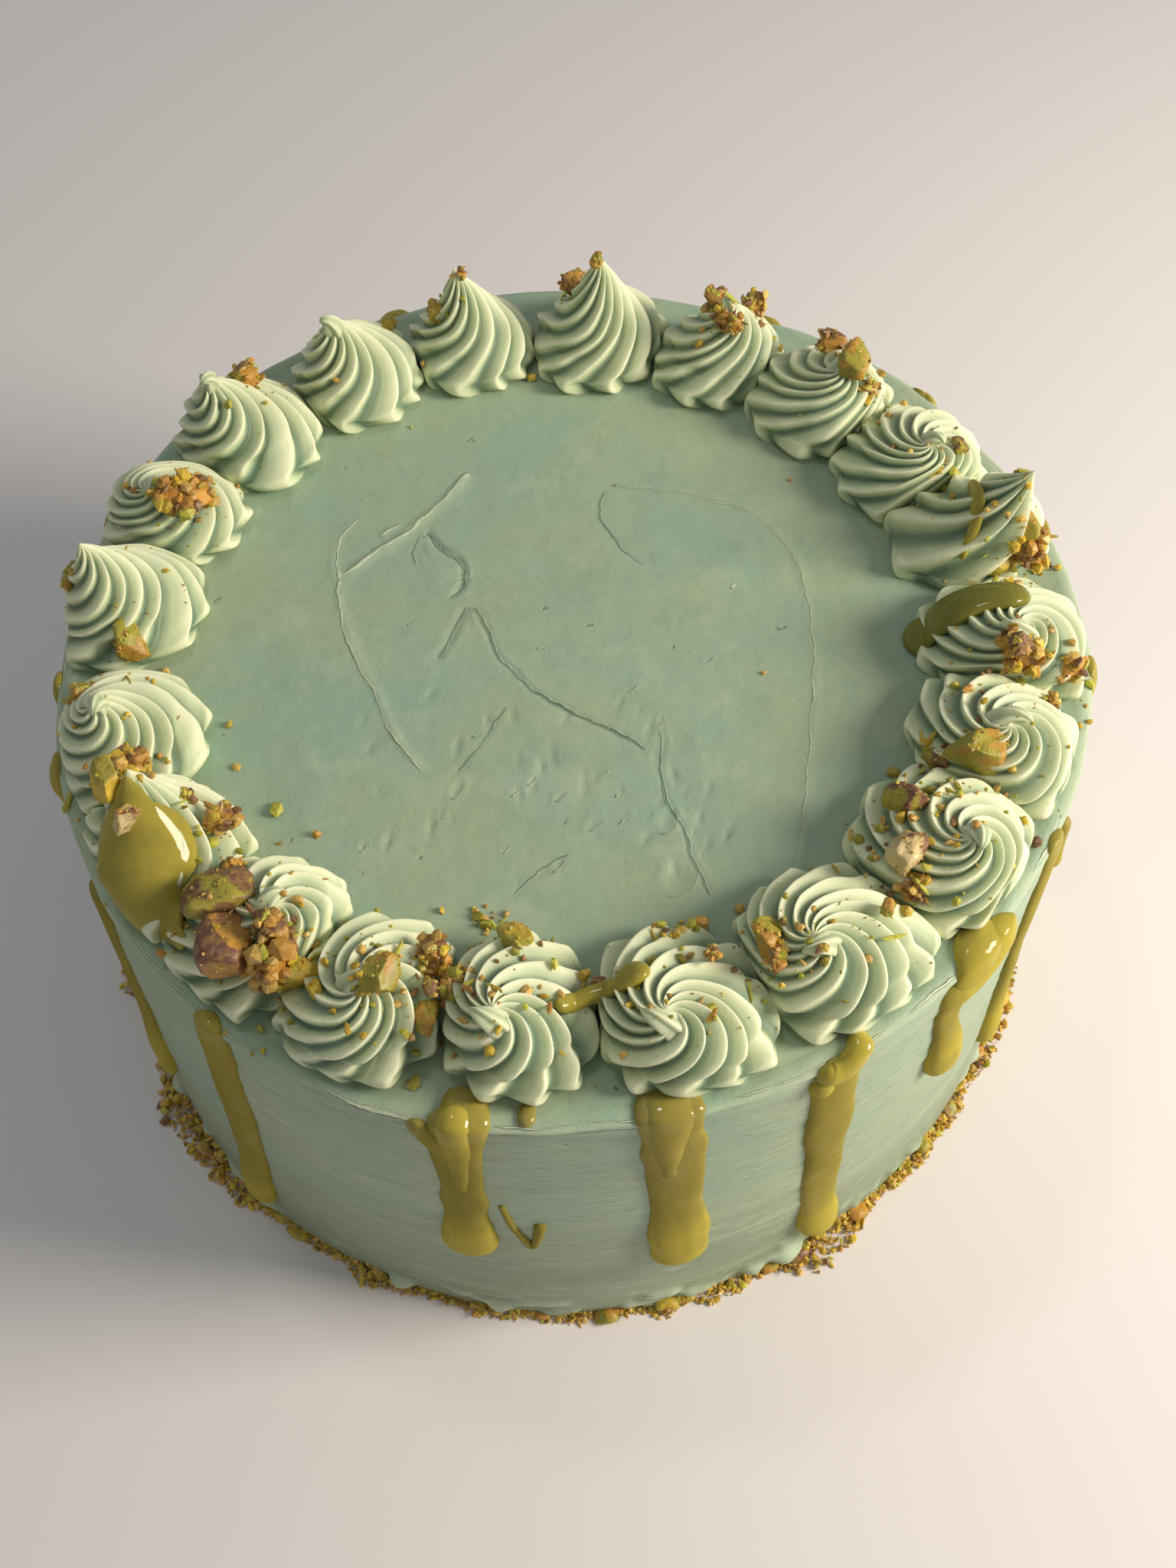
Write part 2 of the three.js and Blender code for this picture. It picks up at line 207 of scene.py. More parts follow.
# %% Shader arithmetic
class Signal:
    """One output of a shader node. Arithmetic on it adds Math nodes to the same finish."""

    def __init__(self, finish, socket):
        self.finish = finish
        self.socket = socket

    def math(self, operation, *values, clamp=False):
        """A Math node over some values."""
        settings = {"operation": operation, "use_clamp": clamp}
        return self.finish.node("ShaderNodeMath", settings, *values)

    def __add__(self, other):
        return self.math("ADD", self, other)

    def __mul__(self, other):
        return self.math("MULTIPLY", self, other)

    def __sub__(self, other):
        return self.math("SUBTRACT", self, other)

    def __rsub__(self, other):
        return self.math("SUBTRACT", other, self)

    def __truediv__(self, other):
        return self.math("DIVIDE", self, other)

    __radd__ = __add__
    __rmul__ = __mul__

    def size(self):
        """The number without its sign."""
        return self.math("ABSOLUTE", self)

    def between(self, low, high):
        """0 below low, 1 above high, and straight between them."""
        return self.math("MULTIPLY", self - low, 1 / (high - low), clamp=True)


class Finish:
    """A material that is built as expressions: patterns in, one Principled shader out."""

    def __init__(self, name):
        self.material = bpy.data.materials.new(name)
        self.material.use_nodes = True
        self.tree = self.material.node_tree
        self.shader = self.tree.nodes["Principled BSDF"]
        self.place = self.node("ShaderNodeTexCoord", {}, output="Object")

    def node(self, kind, settings, *values, output=0, **named):
        """Adds a node: settings first, then values or links by order or by socket name."""
        node = self.tree.nodes.new(kind)
        for key, value in settings.items():
            setattr(node, key, value)
        for key, value in [*enumerate(values), *named.items()]:
            self.feed(node.inputs[key.replace("_", " ") if isinstance(key, str) else key], value)
        return Signal(self, node.outputs[output])

    def feed(self, socket, value):
        """Links a signal to a socket, or sets the socket's own value."""
        if isinstance(value, Signal):
            self.tree.links.new(value.socket, socket)
        elif socket.type == "RGBA":
            socket.default_value = (*value, 1)
        else:
            socket.default_value = value

    def noise(self, size, detail=2.0, rough=0.5, stretch=None):
        """Noise whose features are about size mm across, from 0 to 1, stretched by three shares."""
        place = self.place
        if stretch:
            place = self.node("ShaderNodeVectorMath", {"operation": "MULTIPLY"}, place, stretch)
        return self.node(
            "ShaderNodeTexNoise", {}, Vector=place, Scale=1000 / size, Detail=detail, Roughness=rough
        )

    def mark(self, name):
        """A number that the piece's own mesh carries at each point."""
        return self.node("ShaderNodeAttribute", {"attribute_name": name}, output="Fac")

    def tint(self, name):
        """A colour that the piece's own mesh carries at each point."""
        return self.node("ShaderNodeAttribute", {"attribute_name": name}, output="Color")

    def blend(self, first, second, share):
        """Mix of two colours by a share from 0 to 1."""
        mix = self.tree.nodes.new("ShaderNodeMix")
        mix.data_type = "RGBA"
        sockets = {socket.identifier: socket for socket in mix.inputs}
        self.feed(sockets["Factor_Float"], share)
        self.feed(sockets["A_Color"], first)
        self.feed(sockets["B_Color"], second)
        results = {socket.identifier: socket for socket in mix.outputs}
        return Signal(self, results["Result_Color"])

    def surface(self, colour, roughness, height=None, depth=0.2, **constants):
        """Sets the shader: a colour, a roughness, relief of a depth in mm, and fixed numbers."""
        self.feed(self.shader.inputs["Base Color"], colour)
        self.feed(self.shader.inputs["Roughness"], roughness)
        if height is not None:
            relief = self.node("ShaderNodeBump", {}, Strength=1.0, Distance=depth * MM, Height=height)
            self.feed(self.shader.inputs["Normal"], relief)
        for key, value in constants.items():
            self.feed(self.shader.inputs[key.replace("_", " ")], value)
        return self.material


print("a finish can:", [name for name in vars(Finish) if not name.startswith("_")])

# %% [markdown]
# A floor is only a place for the shadow to fall. It is a plain pale sheet, without edge or
# pattern, and it is marked as stage, so it is never part of the cake.

# %% The floor
FLOOR = 3.0  # half its width in metres
floor_mesh = bpy.data.meshes.new("floor")
corners = [(-FLOOR, -FLOOR, 0), (FLOOR, -FLOOR, 0), (FLOOR, FLOOR, 0), (-FLOOR, FLOOR, 0)]
floor_mesh.from_pydata(corners, [], [(0, 1, 2, 3)])
floor_mesh.materials.append(Finish("pale_floor").surface((0.84, 0.79, 0.78), 0.8))
floor = put_in_scene("floor", floor_mesh)
floor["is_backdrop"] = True
print("floor:", 2 * FLOOR, "m wide")

# %% [markdown]
# Everything edible goes the same way into Blender: points in millimetres, faces, and marks that
# the material reads. Most shapes are rings that run from one end to the other, closed at both
# ends by a middle point. The sign of the enclosed volume tells whether the faces look outwards,
# and turns them round if they don't.


# %% From points to pieces
def ring_faces(rings, around):
    """Squares from ring to ring, and a fan to a middle point at each end, as index rows."""
    index = np.arange(rings * around).reshape(rings, around)
    right = np.roll(index, -1, axis=1)
    squares = np.stack([index[:-1], index[1:], right[1:], right[:-1]], -1).reshape(-1, 4)
    first, last = rings * around, rings * around + 1
    cap = np.stack([np.full(around, first), index[0], right[0]], -1)
    foot = np.stack([np.full(around, last), right[-1], index[-1]], -1)
    return squares, np.concatenate([cap, foot])


def closed_rings(rings, ends=None):
    """Points of rings (count, around, 3) and the middles of the first and last of them."""
    count, around = rings.shape[:2]
    ends = rings[[0, -1]].mean(1) if ends is None else ends
    points = np.concatenate([rings.reshape(-1, 3), ends])
    return points, *ring_faces(count, around)


def even_turn(count):
    """Even angles once round, as one row, so that a column of rings can be spread over them."""
    return np.linspace(0, TURN, count, endpoint=False)[None, :]


def unit(vectors):
    """Each vector divided by its own length."""
    return vectors / np.linalg.norm(vectors, axis=-1, keepdims=True)


def with_ends(values):
    """Marks on rings (count, around), continued to the two middle points by their means."""
    return np.concatenate([values.ravel(), values[[0, -1]].mean(1)])


def volume(points, squares, triangles):
    """A sixth of the sum of the triple products of all triangles: positive if they look out."""
    thirds = np.concatenate([squares[:, [0, 1, 2]], squares[:, [0, 2, 3]], triangles])
    a, b, c = (points[thirds[:, i]] for i in range(3))
    return np.einsum("ij,ij->", a, np.cross(b, c)) / 6


def facing_out(shape):
    """The shape itself, with its faces turned round if they look inwards."""
    points, squares, triangles = shape
    if volume(*shape) < 0:
        return points, squares[:, ::-1], triangles[:, ::-1]
    return shape


def add_piece(name, shape, material, nodes, marks=None, tints=None, smooth=True):
    """Makes a mesh object from points, squares and triangles, and hangs it in the frame."""
    points, squares, triangles = facing_out(shape)
    mesh = bpy.data.meshes.new(name)
    mesh.from_pydata((points * MM).tolist(), [], squares.tolist() + triangles.tolist())
    for key, values in (marks or {}).items():
        mesh.attributes.new(key, "FLOAT", "POINT").data.foreach_set("value", values.astype(np.float32))
    for key, values in (tints or {}).items():
        colour = np.column_stack([values, np.ones(len(values))]).astype(np.float32)
        mesh.attributes.new(key, "FLOAT_COLOR", "POINT").data.foreach_set("color", colour.ravel())
    mesh.polygons.foreach_set("use_smooth", np.full(len(mesh.polygons), smooth))
    mesh.materials.append(material)
    piece = put_in_scene(name, mesh)
    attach(piece, "root")
    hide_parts(*nodes)


def joined(shapes):
    """Several shapes as one: their points in a row, and their faces counted on."""
    starts = np.cumsum([0] + [len(points) for points, _, _ in shapes[:-1]])
    points = np.concatenate([shape[0] for shape in shapes])
    squares = np.concatenate([shape[1] + start for shape, start in zip(shapes, starts)])
    triangles = np.concatenate([shape[2] + start for shape, start in zip(shapes, starts)])
    return points, squares, triangles


def outward(bearing):
    """The level unit vector that points outwards at a bearing."""
    bearing = np.asarray(bearing, float)
    return np.stack([np.cos(bearing), np.sin(bearing), 0 * bearing], -1)


def sideways(bearing):
    """The level unit vector that runs anticlockwise round the cake at a bearing."""
    bearing = np.asarray(bearing, float)
    return np.stack([-np.sin(bearing), np.cos(bearing), 0 * bearing], -1)


top_square = np.array([[1.0, 1, 1], [-1, 1, 1], [-1, -1, 1], [1, -1, 1]])
cube = closed_rings(np.stack([top_square, top_square * (1, 1, -1)]))
print("a cube of two rings, 2 mm wide, encloses", round(volume(*cube), 2), "cubic mm")

# %% [markdown]
# Buttercream is fat and sugar with air in it: matte but never dry, a little see-through, and not
# one colour. Where the spatula dragged, it is a bluer mint, and where light catches a thin edge it
# is painted nearly cream, a painted highlight; cracks, pits and the foot get painted shade. The
# smooth icing and the piped one are the same cream, but the piped ridges carry a mark for how high
# they stand, and by it their crests get painted highlight and their valleys painted shade.

# %% Buttercream
SAGE = (0.385, 0.464, 0.308)
MINT = (0.305, 0.455, 0.345)
PALE_SMEAR = (0.52, 0.58, 0.43)
PALE_STREAK = (0.56, 0.62, 0.45)
PALE_SCUFF = (0.56, 0.61, 0.44)
SEAM_HIGHLIGHT_CREAM = (0.60, 0.66, 0.46)
PAINTED_FOOT_SHADE = (0.27, 0.295, 0.185)
SCRATCH_GREEN = (0.20, 0.26, 0.17)
STAIN_GREEN = (0.17, 0.21, 0.135)
CRACK_SHADE_TEAL = (0.15, 0.27, 0.19)
PINHOLE_SHADE_GREEN = (0.14, 0.18, 0.12)
VALLEY_SHADE_OLIVE, VALLEY_SHADE_TEAL = (0.19, 0.26, 0.15), (0.155, 0.25, 0.16)
FLANK_WARM, FLANK_COOL = (0.60, 0.65, 0.39), (0.53, 0.62, 0.39)
CREST_HIGHLIGHT_CREAM = (0.87, 0.88, 0.59)


def fine_line(icing, name, half, fray):
    """1 within a thin line and 0 beside it, from marks for the signed distance and for nearness."""
    near = icing.mark(name + "_near")
    away = (icing.mark(name + "_side") + fray).size()
    return (1 - (away / (near * half + 0.02)).between(0.55, 1.15)) * near.between(0.05, 0.25)


def smooth_buttercream():
    """Sage and mint patches, drags, stains, scuffs, the top's cuts and seams, pinholes, painted shade
    and highlight.
    """
    icing = Finish("smooth_buttercream")
    patches = icing.noise(34, 3, 0.55).between(0.38, 0.66)
    colour = icing.blend(SAGE, MINT, patches * 0.7)
    smears = icing.noise(9, 4, 0.6, stretch=(0.35, 0.35, 2.4)).between(0.58, 0.76)
    colour = icing.blend(colour, PALE_SMEAR, smears * 0.38)
    # Painted shade: the wall is darkened olive towards its foot, by the mark low.
    colour = icing.blend(colour, PAINTED_FOOT_SHADE, icing.mark("low") * 0.75)
    streaks = icing.noise(3.0, 3, 0.65, stretch=(0.22, 0.22, 2.8))
    scratches = icing.noise(1.3, 2, 0.6, stretch=(0.14, 0.14, 2.2))
    side = icing.mark("side")
    colour = icing.blend(colour, PALE_STREAK, streaks.between(0.56, 0.72) * (0.28 + side * 0.3))
    colour = icing.blend(colour, SCRATCH_GREEN, scratches.between(0.56, 0.74) * (0.16 + side * 0.44))
    stains = icing.noise(6, 5, 0.75, stretch=(0.6, 0.6, 1.3)).between(0.605, 0.69) * side
    colour = icing.blend(colour, STAIN_GREEN, stains * 0.4)
    scuffs = icing.noise(5, 4, 0.7, stretch=(0.5, 0.5, 1.5)).between(0.60, 0.68) * icing.mark("low")
    colour = icing.blend(colour, PALE_SCUFF, scuffs * 0.55)
    fray = (icing.noise(2.4, 3, 0.6) - 0.5) * 1.1
    cut = fine_line(icing, "cut", 0.36, fray * 0.5)
    seam = fine_line(icing, "seam", 0.55, fray * 0.6)
    lips = fine_line(icing, "cut", 0.85, fray * 0.5) - cut
    # Painted shade: teal in the crack's line, and faintly in the grooves, scoops and the wall's
    # hollows.
    colour = icing.blend(colour, CRACK_SHADE_TEAL, cut * 0.65 + icing.mark("groove") * 0.15)
    # Painted highlight: cream on the raised seams, blister rims, beside the crack, on the lip and the
    # wall's raised streaks.
    colour = icing.blend(colour, SEAM_HIGHLIGHT_CREAM, seam * 0.8 + lips * 0.2 + icing.mark("ridge") * 0.5)
    pits = icing.noise(2.6, 2, 0.5, stretch=(0.6, 0.6, 1.6)).between(0.74, 0.79)
    # Painted shade in the small pits, which the relief also sinks.
    colour = icing.blend(colour, PINHOLE_SHADE_GREEN, pits * 0.45)
    grain = icing.noise(0.6, 2, 0.6)
    roughness = 0.47 + icing.noise(12, 2) * 0.16
    height = streaks * 0.9 + scratches * 0.45 + grain * 0.15 + icing.noise(5, 3) * 0.5
    height = height + (seam * 1.1 + lips * 0.3 - cut * 1.1 - pits * 0.5 + scuffs * 0.5)
    return icing.surface(
        colour, roughness, height, 0.40,
        Subsurface_Weight=0.12, Subsurface_Radius=(0.8, 1.0, 0.5), Subsurface_Scale=0.003,
        Specular_IOR_Level=0.42,
    )


def piped_buttercream():
    """Painted highlight on crests, painted teal shade in valleys, by the mark for height; fine grain,
    small pores.
    """
    icing = Finish("piped_buttercream")
    crest = icing.mark("crest")
    patches = icing.noise(14, 2, 0.5).between(0.35, 0.7)
    # Painted shade in the valleys and painted highlight on the crests, by the mark for height.
    valley = icing.blend(VALLEY_SHADE_OLIVE, VALLEY_SHADE_TEAL, patches)
    flank = icing.blend(FLANK_WARM, FLANK_COOL, patches)
    colour = icing.blend(valley, flank, crest.between(0.0, 0.40))
    colour = icing.blend(colour, CREST_HIGHLIGHT_CREAM, crest.between(0.48, 0.92) * 0.95)
    roughness = 0.46 + icing.noise(6, 2) * 0.14
    height = icing.noise(0.8, 3, 0.6) * 0.3 + icing.noise(3.5, 2) * 0.5
    return icing.surface(
        colour, roughness, height, 0.22,
        Subsurface_Weight=0.22, Subsurface_Radius=(0.8, 1.0, 0.5), Subsurface_Scale=0.003,
        Specular_IOR_Level=0.45,
    )


SMOOTH, PIPED = smooth_buttercream(), piped_buttercream()
print("finishes:", SMOOTH.name, PIPED.name)

# %% [markdown]
# The wall is a turned profile that a spatula went round: a true circle, but for a slow wave and
# long level streaks. On one side the cake has slumped, so its top edge is drawn in. Grid rows run
# from the middle of the upper side, out, down the wall and back in below. The upper side lies
# 1.2 mm low, because a skin of icing for the top comes over it.


# %% The wall
def wall_wave(bearing, height):
    """Two slow sines round the cake, less the cube of a cosine for the slump, growing upwards."""
    up = height / CAKE_HEIGHT
    slump = SLUMP * up * np.maximum(0, np.cos(bearing - SLUMP_BEARING)) ** 3
    return WALL_WAVE * (np.sin(3 * bearing + 0.7) + 0.6 * np.sin(7 * bearing + 2.5 * up)) - slump


def wall_streaks(bearing, height):
    """Long low clouds for the spatula's pull, over broader ones, and dabs near the foot."""
    place = CAKE_RADIUS * outward(bearing) + height[..., None] * UP
    pull = clouds(place, (36, 36, 3.0), 3) * 0.19 + clouds(place, (70, 70, 16), 9, 2) * 0.34
    dabs = np.maximum(0, clouds(place, (7, 7, 4.5), 21, 2) - 0.15) * 3.2 * (1 - ease(4, 15, height))
    return pull + dabs


SKIN = 1.2  # thickness of the top's skin of icing
FOOT_TURN = 1.5  # radius at which the wall turns under
WALL_ROWS, WALL_COLUMNS = 92, 880


def wall_shape():
    """Rings of the drum: the seat of the top, the rounded shoulder, the wall and the underside."""
    bearing = even_turn(WALL_COLUMNS)
    top = CAKE_HEIGHT - SKIN
    seat = [(40, top), (75, top), (98, top), (103.5, top)]
    shoulder = [(CAKE_RADIUS - 0.9, top - 0.1), (CAKE_RADIUS - 0.3, top - 0.5)]
    wall = [(CAKE_RADIUS, h) for h in np.linspace(top - 1.3, FOOT_TURN, WALL_ROWS)]
    foot = [(CAKE_RADIUS - 0.4, 0.5), (CAKE_RADIUS - FOOT_TURN, 0), (60, 0)]
    rows = np.array(seat + shoulder + wall + foot)
    radius, height = rows[:, :1], rows[:, 1:] + 0 * bearing
    share = ease(0.7, 1, radius / CAKE_RADIUS)
    streaks = wall_streaks(bearing, height)
    radius = radius + share * wall_wave(bearing, height)
    radius = radius + ease(0, 3, height) * share * streaks
    points = radius[..., None] * outward(bearing) + height[..., None] * UP
    return closed_rings(points), with_ends(streaks)


wall, streaks = wall_shape()
# Painted highlight: the wall's raised streaks and dabs are painted paler, by the ridge mark.
pale = np.clip(streaks * 0.9, 0, 1)
wall_marks = {
    # groove: painted shade in the hollows that the streaks push into the wall.
    "groove": np.clip(-streaks * 0.35, 0, 1),
    "ridge": pale,
    # low: painted shade towards the foot, lifted on raised streaks; it also places the scuffs.
    "low": (1 - ease(4, 70, wall[0][:, 2])) * (1 - 0.8 * pale),
    "side": np.ones(len(pale)),
}
add_piece("iced_wall", wall, SMOOTH, ["cake_body"], wall_marks)
print("wall:", len(wall[0]), "points")

# %% [markdown]
# The top was pulled smooth with a long blade, which left its story: a crack where the cream tore,
# raised seams where one stroke ended on another, a wide faint arc, short dents and small blisters.
# The grid is a square one, pushed out to a disc, so that its cells are much the same size
# everywhere. A distance to each bent line, worked out for all points at once, gives the crack its
# groove and lips.


# %% Marks of the blade
def distance_to(points, path):
    """Distance to a bent line, the signed side, and the share along it: least over its legs."""
    best = np.full(len(points), 1e9)
    side = np.zeros(len(points))
    along = np.zeros(len(points))
    legs = len(path) - 1
    for i, (start, end) in enumerate(zip(path[:-1], path[1:])):
        leg = end - start
        offset = points - start
        share = np.clip(offset @ leg / (leg @ leg), 0, 1)
        away = np.hypot(*(offset - share[:, None] * leg).T)
        turn = leg[0] * offset[:, 1] - leg[1] * offset[:, 0]
        nearer = away < best
        best = np.where(nearer, away, best)
        side = np.where(nearer, np.sign(turn), side)
        along = np.where(nearer, (i + share) / legs, along)
    return best, side, along


def cut_corners(places, times):
    """A line through a few places, made rounder each time by cutting every corner at a quarter."""
    line = np.array(places, float)
    for _ in range(times):
        inner = np.empty((2 * len(line) - 2, line.shape[1]))
        inner[0::2] = 0.75 * line[:-1] + 0.25 * line[1:]
        inner[1::2] = 0.25 * line[:-1] + 0.75 * line[1:]
        line = np.concatenate([line[:1], inner, line[-1:]])
    return line


def length_along(line):
    """How long a line is up to each of its points, from its first two columns."""
    steps = np.hypot(*np.diff(line[:, :2], axis=0).T)
    return np.concatenate([[0], np.cumsum(steps)])


def bent(*places):
    """A line of the blade through a few places in plan."""
    return cut_corners(places, 2)


TEAR = bent((-26.8, 30.8), (-24.4, 25.9), (-20.3, 22.5), (-19, 18.2), (-19.2, 14), (-21.8, 11.6))
TEAR_TAIL = bent((-18.4, 9.1), (-21.4, 2.3), (-24.2, -4))
CRACK = bent(
    (-16.6, 9), (-15.1, 5.4), (-13.3, -0.5), (-12.7, -4.1), (-9.2, -7.9), (-5.4, -13.8), (0.3, -18.1),
    (5.4, -21.8), (10.9, -24.7), (14.8, -28), (16, -30),
)
CRACK_END = bent(
    (19, -24.5), (19.6, -29), (17.9, -33.5), (18.6, -36.7), (19.1, -41.9), (21.8, -47), (22.2, -53.2),
    (24.4, -58.7), (25.4, -63),
)
SEAM = bent((-17.4, 47.8), (-22.2, 40.8), (-26.6, 35.8), (-32.3, 29.4), (-37.7, 25.5), (-45.6, 18.6))
SEAM_BRANCH = bent((-45.6, 18.6), (-46.1, 25.8), (-45, 31.3), (-41.5, 36))
SEAM_STRAND = bent((-36.4, 30.2), (-34, 32.5), (-31.6, 33.4))
SEAM_TAIL = bent(
    (-45.4, 18.8), (-44.9, 9.7), (-42.9, 1.6), (-39.8, -6.6), (-37, -12.3), (-33.9, -22.1),
    (-30.4, -27.6), (-26.6, -32.6),
)
SLIVER = bent((-28.2, 30.4), (-29.3, 26.5), (-29.5, 21.6))
FAINT = bent((12.1, 40.5), (9.7, 34.6), (11.3, 29.7), (14.9, 22.1), (19.4, 18))
CREASE = bent((-11.2, -17.3), (-15.3, -24.7), (-18.5, -29.5), (-21, -32.4))
CREASE_LOW = bent((-0.1, -52.2), (-5.6, -55.6), (-11, -60.9))
ARC = bent(
    (11.3, 42), (28, 38.7), (42.9, 32.3), (49.5, 22.3), (52.3, 12), (52.2, 1.6), (51.6, -7.1),
    (49.5, -20.9), (47.1, -34.1), (44.5, -46.7), (40.9, -58.6), (36, -68),
)
CUTS = [  # line, half width of its valley, depth, how frayed, how thick it is drawn
    (TEAR, 0.6, 0.7, 1.0, 0.6), (TEAR_TAIL, 0.8, 0.35, 0.6, 0.5), (CRACK, 0.5, 0.45, 0.3, 0.7),
    (CRACK_END, 0.4, 0.2, 0.3, 0.6), (SLIVER, 0.5, 0.2, 0.3, 0.4), (FAINT, 0.5, 0.10, 0.5, 0.4),
    (CREASE, 0.5, 0.15, 0.5, 0.35), (CREASE_LOW, 0.5, 0.10, 0.5, 0.3),
]
SEAMS = [  # line, half width, height, how thick it is drawn
    (SEAM, 0.8, 0.50, 1.0), (SEAM_BRANCH, 0.6, 0.25, 0.6), (SEAM_TAIL, 0.6, 0.30, 0.7),
    (SEAM_STRAND, 0.6, 0.2, 0.7), (ARC, 0.6, 0.16, 0.35),
]
BLISTERS = [  # place, half length, half width, bearing of the length in degrees
    (-9.7, -37.4, 1.5, 0.7, 45), (-1.3, -39.3, 1.8, 0.8, 40), (4.7, -45.9, 2.4, 1.0, 42),
    (10.8, -44.5, 1.8, 0.6, 50), (10.4, -38.8, 1.5, 0.5, 50), (7.5, -34.1, 0.8, 0.5, 30),
    (-2, -54.1, 2.3, 0.9, 50), (-6.5, -35.1, 1.6, 0.5, 45), (-38.7, -48.1, 1.1, 0.9, 90),
    (-12.1, -50.4, 0.8, 0.7, 0), (13.8, -14.1, 1.3, 0.8, 10), (19.3, -22.6, 1.0, 0.8, 60),
    (0, -44.4, 0.9, 0.5, 45), (-20.9, -36.1, 2.6, 1.2, 60), (18.6, -45.8, 3.4, 2.2, 70),
    (19.8, -58.4, 4.6, 3.4, 60), (-24, -42, 1.2, 0.6, 40), (-30, 6, 1.0, 0.6, 70),
    (30, -8, 1.1, 0.6, 20), (37, 12, 1.2, 0.5, 80),
]
LIT_SIDE = np.array([0.6, -0.8])  # the side of a blister's rim that gets a painted highlight
DENTS = 40  # short scoops on the near part
print("the crack is", round(length_along(CRACK)[-1]), "mm long")


# %% Relief of the top
def at_level(points):
    """Places in plan as places in space, at height nothing."""
    return np.column_stack([points, 0 * points[:, 0]])


def wander(points, size, seed):
    """A move in plan for each point: one cloud for each of its two directions."""
    level = at_level(points)
    return np.column_stack([cloud(level, size, seed), cloud(level, size, seed + 1)])


def heading(angle):
    """The unit vector in plan at an angle."""
    return np.array([math.cos(angle), math.sin(angle)])


def groove(points, path, half, depth, fray):
    """A valley that falls off as a bell of the distance, with low lips beside it, frayed by noise."""
    away, side, along = distance_to(points + fray * wander(points, 7, 5), path)
    ends = ease(0, 0.08, along) * (1 - ease(0.9, 1, along))
    strength = ends * (0.65 + 0.35 * cloud(at_level(points), 4, 7))
    valley = np.exp(-((away / half) ** 2)) * strength
    lips = np.exp(-(((away - 2.1 * half) / (1.1 * half)) ** 2)) * strength * (0.6 + 0.4 * side)
    return depth * (0.34 * lips - valley), valley


def crest_line(points, path, half, height):
    """A raised line: a bell of the distance to a bent line, steeper on one side than the other."""
    away, side, along = distance_to(points + 0.5 * wander(points, 12, 15), path)
    width = half * np.where(side > 0, 1.8, 0.8)
    strength = ease(0, 0.12, along) * (1 - ease(0.82, 1, along))
    uneven = 0.75 + 0.25 * cloud(at_level(points), 5, 17)
    bell = np.exp(-((away / width) ** 2)) * strength * uneven
    return height * bell, bell


def dents(points):
    """Short shallow scoops, each a bell stretched three to one, scattered over the near part."""
    total = np.zeros(len(points))
    for i in range(DENTS):
        middle = np.array([-40 + 72 * draw(i + 700), -58 + 46 * draw(i + 750)])
        way = heading(0.9 + 0.9 * draw(i + 800))
        offset = points - middle
        long = offset @ way
        short = offset @ np.array([-way[1], way[0]])
        size = 0.5 + 0.8 * draw(i + 850)
        total += np.exp(-((long / (1.7 * size)) ** 2) - (short / (0.6 * size)) ** 2) * size
    return total


def blister_rims(points, blister):
    """Distance from an ellipse in shares of its half width: less than nothing inside, 0 on its rim."""
    x, y, long, short, degrees = blister
    way = heading(math.radians(degrees))
    offset = points - (x, y)
    return np.hypot(offset @ way / long, offset @ np.array([-way[1], way[0]]) / short) - 1


def line_marks(points, lines, blisters=()):
    """Signed distance to the nearest line or rim, and how thick it is drawn: rims only on their lit
    side, a painted highlight.
    """
    uneven = 0.75 + 0.35 * cloud(at_level(points), 6, 107)
    points = points + 0.40 * wander(points, 5, 105) + 0.28 * wander(points, 1.9, 108)
    best = np.full(len(points), 1e9)
    side = np.zeros(len(points))
    near = np.zeros(len(points))
    for line, strength in lines:
        away, turn, along = distance_to(points, line)
        closer = away < best
        best = np.where(closer, away, best)
        side = np.where(closer, away * np.where(turn < 0, -1, 1), side)
        thick = strength * uneven * ease(0, 0.06, along) * (1 - ease(0.85, 1, along))
        near = np.where(closer, thick * (1 - ease(2.2, 3.2, away)), near)
    for blister in blisters:
        rim = blister_rims(points, blister) * blister[3]
        offset = points - blister[:2]
        # Only the rim on the side of LIT_SIDE is drawn, as a painted highlight.
        facing = offset @ LIT_SIDE / np.maximum(0.1, np.linalg.norm(offset, axis=1))
        closer = (np.abs(rim) < np.minimum(best, 1.6)) & (facing > 0)
        best = np.where(closer, np.abs(rim), best)
        side = np.where(closer, rim, side)
        near = np.where(closer, 0.45 * uneven * ease(0.1, 0.8, facing), near)
    return np.clip(side, -6, 6), near


def top_relief(points):
    """All marks of the blade added up: height in mm, and marks for grooves and raised lines."""
    level = at_level(points)
    height = clouds(level, 40, 31, 2) * 0.30 + clouds(level, (26, 7, 9), 35, 2) * 0.06
    grooves = np.zeros(len(points))
    ridges = np.zeros(len(points))
    for path, half, depth, fray, _ in CUTS:
        lift, mark = groove(points, path, half, depth, fray)
        height += lift
        grooves = np.maximum(grooves, mark)
    for path, half, rise, _ in SEAMS:
        lift, mark = crest_line(points, path, half, rise)
        height += lift
        ridges = np.maximum(ridges, mark * rise / 0.75)
    for blister in BLISTERS:
        rim = blister_rims(points, blister)
        height += 0.16 * np.exp(-((rim / 0.35) ** 2)) - 0.22 * np.exp(-((rim + 1) ** 2) * 1.4)
    scoops = dents(points)
    return height - 0.22 * scoops, np.clip(grooves + 0.15 * scoops, 0, 1), np.clip(ridges, 0, 1)


print("heights along the crack in mm:", top_relief(CRACK[::6])[0].round(2))

# %% [markdown]
# The disc's edge is a lip: the blade pulls the top's icing a little over the wall and leaves a
# thin rim with nicks in it; a pale line along it and a paler turn over it are painted highlight.
# The last rings of the grid turn over that lip and go in under it.

